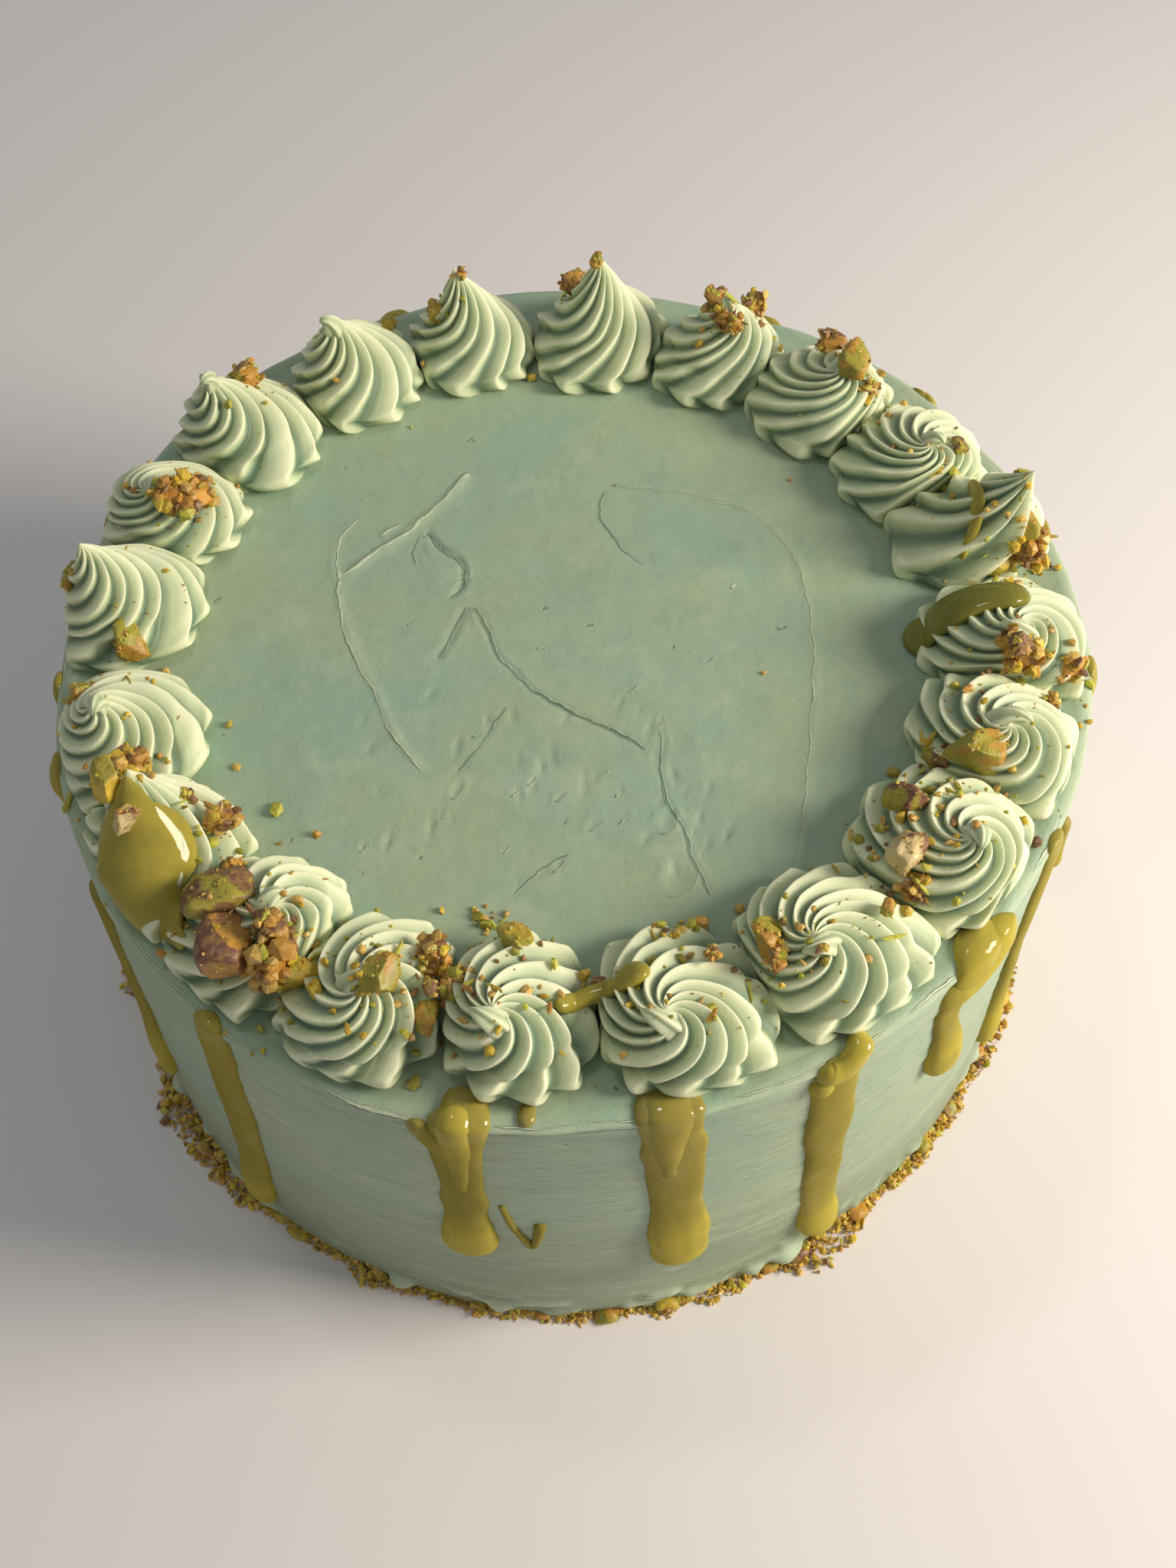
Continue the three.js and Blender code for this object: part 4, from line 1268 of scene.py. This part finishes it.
def body_height(places, k):
    """Height of a smooth rosette over places in plan: its lean at the last guess gives the next one."""
    _, _, radius, height, lean_out, lean_round = ROSETTES[k][:6]
    offset = places - FEET[k]
    own = np.stack([offset @ outward(BEARINGS[k]), offset @ sideways(BEARINGS[k])], -1)
    found = np.zeros(own.shape[:-1])
    for _ in range(LEAN_GUESSES):
        lean = (found / height)[..., None] ** 1.3 * (lean_out, lean_round)
        share = np.linalg.norm(own - lean, axis=-1) / radius
        found = 0.5 * (found + rise(share, height))
    return found


def pool_shape(number, stations):
    """Rings across a bent line in plan: flat above with round shoulders, and sunk a little below."""
    k = number - 1
    line = rounded(stations, crowded(POOL_RINGS))
    along = unit(np.gradient(line[:, :2], axis=0))
    travelled = length_along(line) + 0.02
    track = np.column_stack([line[:, :2], np.full(POOL_RINGS, number)])
    half = line[:, 3] * (1 + WAVER * cloud(track, 5, number))
    ring = round_off(travelled, half) * round_off(travelled[-1] + 0.02 - travelled, half)
    turn = even_turn(POOL_AROUND)
    wide = (half * ring)[:, None] * np.cos(turn)
    out, beside = line[:, :1] - wide * along[:, 1:], line[:, 1:2] + wide * along[:, :1]
    placed = beside_foot(k, out[..., None], beside[..., None])
    neighbours = [body_height(placed, (k + step) % len(ROSETTES)) for step in (-1, 0, 1)]
    bed = np.maximum(np.max(neighbours, axis=0), line[:, 2:3])
    above = (line[:, 4] * ring)[:, None] * np.maximum(0, np.sin(turn)) ** 0.6
    below = 0.9 * ring[:, None] * np.maximum(0, -np.sin(turn)) ** 0.6
    placed[..., 2] = np.maximum(cake_top + bed + above - below, cake_top + STEP_UP)
    return closed_rings(placed)


for number, deep, stations in POOLS:
    shape = pool_shape(number, stations)
    whole = np.ones(len(shape[0]))
    pool_marks = {"thick": 0.8 * whole, "wet": 0.6 * whole, "deep": deep * whole}
    node = f"rosette_{number:02d}"
    add_piece("drizzle_on_" + node, shape, CREAM, [node], pool_marks)
print("drizzle:", [row[0] for row in POOLS])

# %% [markdown]
# Chopped pistachios break along flat faces. A kernel is yellow-green inside, under a purple-brown
# skin. Each piece is a ball pulled to its length, with a few planes cut off it, roughened by noise.
# Colours are worked out on its points: skin on one side, flesh on the cut faces.

# %% Nut colours
FLESH_GREEN = (0.34, 0.31, 0.03)
FLESH_YELLOW = (0.60, 0.41, 0.03)
TOASTED = (0.50, 0.24, 0.04)
SKIN_BROWN = (0.20, 0.085, 0.045)
SKIN_PURPLE = (0.17, 0.065, 0.045)
KERNEL_CREAM = (0.72, 0.55, 0.28)
RUSSET = (0.50, 0.25, 0.03)
ORANGE = (0.60, 0.28, 0.03)
GOLDEN = (0.62, 0.40, 0.08)
GOLDEN_MEAL = (0.64, 0.40, 0.10)
LEAF_GREEN = (0.46, 0.46, 0.05)
DARK_SPECK = (0.12, 0.055, 0.02)
KINDS = {  # flesh, skin, share of the surface that the skin covers
    "brown": (TOASTED, SKIN_BROWN, 0.35),
    "green": (FLESH_GREEN, RUSSET, 0.35),
    "yellow": (FLESH_YELLOW, FLESH_GREEN, 0.30),
    "orange": (ORANGE, TOASTED, 0.30),
    "rosy": (TOASTED, SKIN_PURPLE, 0.45),
    "purple": (FLESH_GREEN, SKIN_PURPLE, 0.42),
    "cream": (KERNEL_CREAM, SKIN_BROWN, 0.15),
}
NUTS = [  # rosette, out, round, up, length, kind
    (1, 7, 6.3, 12, 7, "brown"),
    (2, 5, 2.6, 13.4, 8, "brown"),
    (2, 8, -5, 12.2, 8, "brown"),
    (2, -1.9, -2.9, 15.2, 7, "orange"),
    (3, 9.5, 3.3, 9.6, 8, "brown"),
    (3, 4.8, -7, 13.3, 10, "green"),
    (3, 3, -11.5, 10, 6, "brown"),
    (4, -1.4, -10.7, 7.6, 7, "yellow"),
    (5, 7.9, -12, 5, 12, "brown"),
    (5, 7.8, -9.5, 10.8, 7, "green"),
    (5, 2.4, -13, 4.4, 6, "yellow"),
    (6, 0, -11.6, 9.5, 11, "brown"),
    (6, 10.7, -10.1, 6.4, 7, "orange"),
    (7, -2.9, -11.8, 8.9, 12, "green"),
    (7, -10.1, -10.2, 4.6, 7, "purple"),
    (8, -7.7, -0.9, 9.7, 8, "purple"),
    (8, -1.7, -11.1, 10.7, 9, "cream"),
    (8, 2.3, -13.4, 7.1, 7, "brown"),
    (9, -4.5, -12.4, 11, 8, "green"),
    (9, -0.2, -13.7, 10.6, 7, "brown"),
    (11, -12.5, -2, 5.5, 7, "yellow"),
    (11, -1.3, -11.9, 6.4, 8, "brown"),
    (12, -7.9, 9.4, 7.7, 8, "brown"),
    (12, 2.1, 13.4, 6.4, 7, "green"),
    (12, 1.5, 4.7, 13.9, 8, "green"),
    (12, 2.6, -10.7, 7, 8, "yellow"),
    (13, 4.9, 11, 8.4, 13, "orange"),
    (13, 7.4, 2.4, 10.3, 12, "rosy"),
    (13, 0.7, -5.9, 10.9, 12, "purple"),
    (13, 0.5, 7.6, 13.4, 8, "brown"),
    (14, -10.5, 4, 8.5, 8, "brown"),
    (14, 4.1, 1.2, 18.9, 6, "cream"),
    (14, 2.5, -8.1, 19.5, 8, "yellow"),
    (15, -0.5, 11.8, 9, 9, "brown"),
    (15, 6.8, -7.2, 9.6, 6, "green"),
    (16, -4.3, 12.7, 5.6, 9, "green"),
    (16, 10, 0, 9.5, 8, "green"),
    (17, -7.3, 3.8, 11.9, 12, "orange"),
    (18, 3.9, -5.3, 12.3, 8, "orange"),
    (20, 0.8, 7.4, 12.5, 7, "yellow"),
]
SMALL_NUTS = [  # the same for small bits, which only the dressed cake has
    (1, -0.7, 0.1, 25.2, 3.5, "green"),
    (4, 4.7, -9.4, 12.2, 4.5, "purple"),
    (7, 8, 7, 8, 4, "orange"),
    (14, -8.3, -2.2, 11.5, 4.5, "brown"),
    (19, 6.6, -11.2, 7.5, 4.5, "yellow"),
    (20, 0, 1.1, 23, 3.5, "orange"),
    (12, -2, 12, 10, 4, "purple"),
    (12, 6, -6, 11, 3.5, "yellow"),
    (11, 3, -6, 11, 4, "purple"),
    (10, -4, 6, 12, 3, "brown"),
    (9, 3, 8, 12, 3.5, "green"),
    (13, -6, -9, 9, 4, "orange"),
]
NUT_WIDTH, NUT_HEIGHT, NUT_LIFT = 0.7, 0.62, 0.2  # as shares of a piece's length
NUT_TILT = 0.9  # how far a piece may lie off level, in radians from one side to the other
CUT_PLANES = 7  # faces along which a piece broke
BLOCKY = 3.2  # power of the rounded block that a ball is pushed towards
LUMPY = ("brown", "orange")  # kinds that are lumps of meal
print("pieces of nut:", len(NUTS), "and", len(SMALL_NUTS), "small ones")


# %% Nut pieces
def nut_finish():
    """The piece's own colours, mottled by fine noise, a little oily, with a crumbly relief."""
    nut = Finish("chopped_nut")
    mottle = nut.noise(1.3, 3, 0.6).between(0.38, 0.72)
    colour = nut.blend(nut.tint("flesh"), GOLDEN, mottle * 0.42)
    speck = nut.noise(0.5, 2, 0.6).between(0.58, 0.70)
    colour = nut.blend(colour, DARK_SPECK, speck * 0.25)
    height = nut.noise(0.9, 3, 0.65) * 0.8 + nut.noise(0.35, 2) * 0.3
    roughness = 0.30 + nut.noise(1.5, 2) * 0.3
    return nut.surface(
        colour, roughness, height, 0.30, Specular_IOR_Level=0.5, Coat_Weight=0.12, Coat_Roughness=0.25,
        Subsurface_Weight=0.12, Subsurface_Radius=(1.0, 0.7, 0.15), Subsurface_Scale=0.0015,
    )


def ball(rings, around):
    """Rings of a unit ball, closed at both poles."""
    tilt = np.linspace(0.12, math.pi - 0.12, rings)[:, None]
    turn = even_turn(around)
    points = np.sin(tilt)[..., None] * outward(turn) + (np.cos(tilt) + 0 * turn)[..., None] * UP
    return closed_rings(points, np.array([[0.0, 0, 1], [0, 0, -1]]))


def turned(points, tilt, spin):
    """Points tipped about the second axis, then spun about the upright one."""
    c, s = math.cos(tilt), math.sin(tilt)
    tipped = points @ np.array([[c, 0, s], [0, 1, 0], [-s, 0, c]]).T
    c, s = math.cos(spin), math.sin(spin)
    return tipped @ np.array([[c, -s, 0], [s, c, 0], [0, 0, 1]]).T


def chopped(seed, length, width, height, rings=24, around=34):
    """A ball pushed towards a block, cut by a few planes, roughened by clouds and sized."""
    points, squares, triangles = ball(rings, around)
    points = points / ((np.abs(points) ** BLOCKY).sum(-1, keepdims=True) ** (1 / BLOCKY))
    cut = np.zeros(len(points))
    for i in range(CUT_PLANES):
        tilt, spin = math.acos(1 - 2 * draw(seed * 31 + i)), TURN * draw(seed * 37 + i)
        normal = np.array([*(math.sin(tilt) * heading(spin)), math.cos(tilt)])
        over = points @ normal - (0.56 + 0.30 * draw(seed * 41 + i))
        points = points - np.maximum(over, 0)[:, None] * normal
        cut = np.maximum(cut, ease(0, 0.05, over))
    rough = 1 + 0.07 * clouds(points * 3, 1.0, seed, 3)[:, None]
    return points * rough * (0.55 * np.array([length, width, height])), squares, triangles, cut


def nut_colour(points, cut, kind, seed):
    """Skin where a cloud is above a level set by its share and the face isn't cut, else flesh."""
    flesh, skin, cover = KINDS[kind]
    patch = cloud(points, 4.5, seed + 5) + 0.5 * cloud(points, 1.6, seed + 6) - 0.5 * cut
    level = np.quantile(patch, 1 - cover)
    mask = ease(level - 0.10, level + 0.10, patch)[:, None]
    hue = (0.5 + 0.5 * cloud(points, 3, seed + 8))[:, None]
    inside = np.array(flesh) * (0.75 + 0.5 * hue)
    return inside * (1 - mask) + np.array(skin) * (0.8 + 0.4 * hue) * mask


NUT = nut_finish()
nuts, tints = [], []
for i, (number, out, along, up, length, kind) in enumerate(NUTS + SMALL_NUTS):
    core = 0.86 if kind in LUMPY else 1
    sides = core * length, core * NUT_WIDTH * length, core * NUT_HEIGHT * length
    points, squares, triangles, cut = chopped(i, *sides)
    tints.append(nut_colour(points, cut, kind, i))
    points = turned(points, (draw(i + 50) - 0.5) * NUT_TILT, draw(i + 90) * math.pi)
    points = points + (out, along, up + NUT_LIFT * length)
    nuts.append((onto_rosette(points, number - 1), squares, triangles))
carriers = sorted({f"rosette_{row[0]:02d}" for row in NUTS + SMALL_NUTS})
nut_tints = {"flesh": np.concatenate(tints)}
add_piece("chopped_nuts", joined(nuts), NUT, carriers, tints=nut_tints)
print("nuts:", len(nuts), "on", len(carriers), "rosettes")

# %% [markdown]
# Chopping also makes crumbs, from dust to grains of three millimetres. They lie wherever they fell:
# thickest round the larger pieces, thinly over the rest, and in a band round the foot of the wall.
# A ray dropped from above finds the surface under each, so that none floats or drowns.

# %% Where crumbs fall
DROP_FROM = 0.16  # height in metres, over the tallest rosette
FRONT_ROSETTES = range(5, 15)
FRONT_CRUMBS, OTHER_CRUMBS = 24, 13  # round each nut, by where its rosette is
SCATTERED = 520  # over the ring, most of them at the front


def tree_of(shapes):
    """One search tree over the faces of several shapes, in metres."""
    points, squares, triangles = joined([facing_out(shape) for shape in shapes])
    return BVHTree.FromPolygons((points * MM).tolist(), squares.tolist() + triangles.tolist())


def land(tree, places):
    """Each place in mm, dropped on the surface below it; those that miss it are left out."""
    found = []
    for x, y in places:
        above = Vector((x * MM, y * MM, DROP_FROM))
        hit, normal, _, _ = tree.ray_cast(above, Vector((0, 0, -1)))
        if hit is not None:
            found.append((*(c / MM for c in hit), *normal))
    return np.array(found)


icing_tree = tree_of([top, *rosettes])
clusters = []
for i, (number, out, along, up, length, _) in enumerate(NUTS):
    middle = onto_rosette(np.array([out, along, up], float), number - 1)
    for j in range(FRONT_CRUMBS if number in FRONT_ROSETTES else OTHER_CRUMBS):
        away = (0.30 + 1.5 * draw(97 * i + j + 3000) ** 1.6) * 0.75 * length
        clusters.append(middle[:2] + away * heading(TURN * draw(89 * i + j + 5000)))
for j in range(SCATTERED):
    bearing = math.radians(-80 + 170 * (draw(j + 9000) + draw(j + 9200) - 1))
    reach = 88 + 19 * (draw(j + 9500) + draw(j + 9900) - 1)
    clusters.append(reach * heading(bearing))
LOOSE = [  # separate crumbs and small heaps on the flat top, with how many grains lie there
    (-55.2, -39, 3), (-47.3, -45.2, 2), (-63.5, -27.8, 1), (-24.2, -62.8, 2), (-16.8, -63, 9),
    (-15.2, -66.9, 9), (20.7, -70.5, 16), (16.4, -72.6, 22), (-2.5, 76, 3), (71, -52.5, 3),
    (86.6, -56, 2), (-65.9, -18.2, 3), (-64.1, -41, 3), (30, -66, 2), (52, 40, 1), (-30, 62, 1),
    (41, -12, 1),
]
for i, (x, y, count) in enumerate(LOOSE):
    for j in range(count):
        away = 2.6 * draw(61 * i + j + 7000) * (count > 3) + 0.3
        clusters.append(np.array([x, y]) + away * heading(TURN * draw(67 * i + j + 7500)))
landed = land(icing_tree, clusters)
print("crumbs that landed:", len(landed), "of", len(clusters))


# %% Crumbs on the piping
def facet_ball():
    """The twelve corners and twenty faces of an icosahedron, from the golden ratio."""
    golden = (1 + math.sqrt(5)) / 2
    corners = [(-1, golden, 0), (1, golden, 0), (-1, -golden, 0), (1, -golden, 0)]
    corners += [(z, x, y) for x, y, z in corners[:4]] + [(y, z, x) for x, y, z in corners[:4]]
    points = np.array(corners, float) / math.hypot(1, golden)
    edge = min(np.linalg.norm(points[0] - p) for p in points[1:])
    near = np.linalg.norm(points[:, None] - points[None], axis=2) < 1.01 * edge
    faces = []
    for a, b, c in combinations(range(len(points)), 3):
        if near[a, b] and near[b, c] and near[a, c]:
            flip = np.linalg.det(points[[a, b, c]]) < 0
            faces.append((a, c, b) if flip else (a, b, c))
    return points, np.array(faces)


GRAIN, GRAIN_FACES = facet_ball()
CORNERS = len(GRAIN)


def grains(places, sizes, seed, sink=0.25):
    """Icosahedra at places, each with its corners pushed, drawn out of round, turned and sunk."""
    count = len(places)
    key = np.arange(count)[:, None] * CORNERS + np.arange(CORNERS)[None, :] + 7919 * seed
    points = GRAIN[None] * (0.65 + 0.7 * draw(key))[..., None]
    pull = 0.65 + (0.75, 0.55, 0.40) * draw(key[:, :3] + 1)
    sliver = draw(key[:, 3] + 6)[:, None] > 0.84
    pull = pull * np.where(sliver, (1.9, 0.6, 0.5), 1.0)
    points = points * pull[:, None] * sizes[:, None, None] / 2
    spin, tip = TURN * draw(key[:, 1] + 4), 1.2 * (draw(key[:, 2] + 5) - 0.5)
    c, s, zero, one = np.cos(spin), np.sin(spin), 0 * spin, 0 * spin + 1
    flat = np.stack([c, -s, zero, s, c, zero, zero, zero, one], -1).reshape(-1, 3, 3)
    c, s = np.cos(tip), np.sin(tip)
    tipped = np.stack([c, zero, s, zero, one, zero, -s, zero, c], -1).reshape(-1, 3, 3)
    points = np.einsum("nij,njk,nlk->nli", flat, tipped, points)
    lift = (0.5 - sink) * sizes
    points = points + places[:, None, :3] + (lift[:, None] * places[:, 3:6])[:, None]
    faces = (GRAIN_FACES[None] + CORNERS * np.arange(count)[:, None, None]).reshape(-1, 3)
    return points.reshape(-1, 3), np.zeros((0, 4), int), faces


GRAIN_COLOURS = np.array([FLESH_YELLOW, GOLDEN_MEAL, TOASTED, FLESH_GREEN, LEAF_GREEN, SKIN_BROWN])


def grain_tints(count, seed, weights):
    """One colour for each grain, chosen by weights and varied in brightness, on all its corners."""
    pick = np.searchsorted(np.cumsum(weights) / np.sum(weights), draws(count, 31 * seed))
    shade = 0.7 + 0.6 * draws(count, 57 * seed)
    return np.repeat(GRAIN_COLOURS[pick] * shade[:, None], CORNERS, axis=0)


sizes = 0.35 + 1.9 * draws(len(landed), 400) ** 2.6
sizes[-sum(row[2] for row in LOOSE):] += 0.5
crumb_tints = {"flesh": grain_tints(len(landed), 3, (6, 6, 2, 3, 6, 1.5))}
crumbs = grains(landed, sizes, 1)
add_piece("crumbs_on_piping", crumbs, NUT, carriers, None, crumb_tints, smooth=False)
print("crumbs:", len(landed), "from", round(sizes.min(), 1), "to", round(sizes.max(), 1), "mm")

# %% [markdown]
# The toasted pieces aren't solid blocks but lumps of coarse meal that stuck together. So grains are
# set all over them, on points of their own surface, and a finer dusting lies on the green ones.

# %% Grains on the nuts
LUMP_GRAINS, NUT_GRAINS = 7.5, 5.0  # on each mm of a piece's length
LUMP_WEIGHTS, NUT_WEIGHTS = (3, 4, 5, 1, 2, 4), (4, 6, 1, 2, 3, 0.5)
stuck, stuck_sizes, stuck_tints = [], [], []
for i, ((points, _, _), (*_, length, kind)) in enumerate(zip(nuts, NUTS + SMALL_NUTS)):
    lumpy = kind in LUMPY
    count = int((LUMP_GRAINS if lumpy else NUT_GRAINS) * length)
    pick = (draws(count, 211 * i) * len(points)).astype(int)
    facing = unit(points[pick] - points.mean(0))
    stuck.append(np.column_stack([points[pick], facing]))
    share = draws(count, 223 * i)
    stuck_sizes.append((0.6 + 0.24 * length * share**1.5) if lumpy else (0.3 + 0.6 * share**2))
    stuck_tints.append(grain_tints(count, 3 * i, LUMP_WEIGHTS if lumpy else NUT_WEIGHTS))
dusting = grains(np.concatenate(stuck), np.concatenate(stuck_sizes), 4, sink=0.35)
dusting_tints = {"flesh": np.concatenate(stuck_tints)}
add_piece("crumbs_on_nuts", dusting, NUT, carriers, None, dusting_tints, smooth=False)
print("grains on the nuts:", sum(len(s) for s in stuck))

# %% [markdown]
# Round the foot lies a band of crumbs that were pressed against the wall: larger pieces at uneven
# intervals, in a drift of golden meal. The larger ones stand where the solid has them.

# %% Crumbs round the foot
CRUMBS, CRUMB_LENGTH = 52, 6.0
CRUMB_KINDS = ["yellow", "yellow", "green", "orange", "orange", "brown", "purple", "green"]
MEAL = 8600  # grains of fine meal
BAND = 5.0  # width of the band that they lie in
large, large_tints = [], []
for i in range(CRUMBS):
    bearing = (i + 0.9 * (draw(i) - 0.5)) / CRUMBS * TURN
    size = CRUMB_LENGTH * (0.45 + 0.75 * draw(i + 200) ** 1.5)
    height = size * (0.55 + 0.30 * draw(i + 300))
    reach = CAKE_RADIUS + wall_wave(bearing, 0) + 0.16 * size
    points, squares, triangles, cut = chopped(i + 400, 1.1 * size, 0.85 * size, 0.95 * height, 12, 16)
    kind = CRUMB_KINDS[int(len(CRUMB_KINDS) * draw(i + 350))]
    large_tints.append(nut_colour(points, cut, kind, i + 400))
    points = turned(points, 0, bearing + 0.5 * math.pi) + reach * outward(bearing) + 0.4 * height * UP
    points[:, 2] = np.maximum(points[:, 2], 0)
    large.append((points, squares, triangles))
crumb_tints = {"flesh": np.concatenate(large_tints)}
add_piece("crumbs_at_foot", joined(large), NUT, ["cake_body"], tints=crumb_tints)

bearing = TURN * (np.arange(MEAL) + draws(MEAL, 11)) / MEAL
place = CAKE_RADIUS * outward(bearing)
drift = np.clip(0.95 + 0.75 * cloud(place, 17, 90) + 0.4 * cloud(place, 5, 94), 0.3, 1.8)
meal_sizes = (0.50 + 1.5 * draws(MEAL, 77) ** 2.5) * (0.7 + 0.3 * drift)
heap = draws(MEAL, 5100) ** 1.5
reach = CAKE_RADIUS + wall_wave(bearing, 0) - 0.3 + BAND * heap * drift
height = meal_sizes * 0.25 + 3.6 * drift * (1 - heap) * draws(MEAL, 6100)
spots = reach[:, None] * outward(bearing) + height[:, None] * UP
meal = grains(np.column_stack([spots, np.tile(UP, (MEAL, 1))]), meal_sizes, 2, sink=0.5)
meal[0][:, 2] = np.maximum(meal[0][:, 2], 0)
meal_tints = {"flesh": grain_tints(MEAL, 9, (8, 9, 3, 1, 2, 0.6))}
add_piece("meal_at_foot", meal, NUT, ["cake_body"], None, meal_tints, smooth=False)
print("crumbs at the foot:", CRUMBS, "large and", MEAL, "fine")

# %% [markdown]
# Last, the box of the dressed cake is measured and printed, as that of the solids was at the start.

# %% Finish
dressed_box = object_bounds()
dressed_corners = [round(1000 * x, 1) for x in (*dressed_box[0], *dressed_box[1])]
print("dressed box in mm:", dressed_corners)
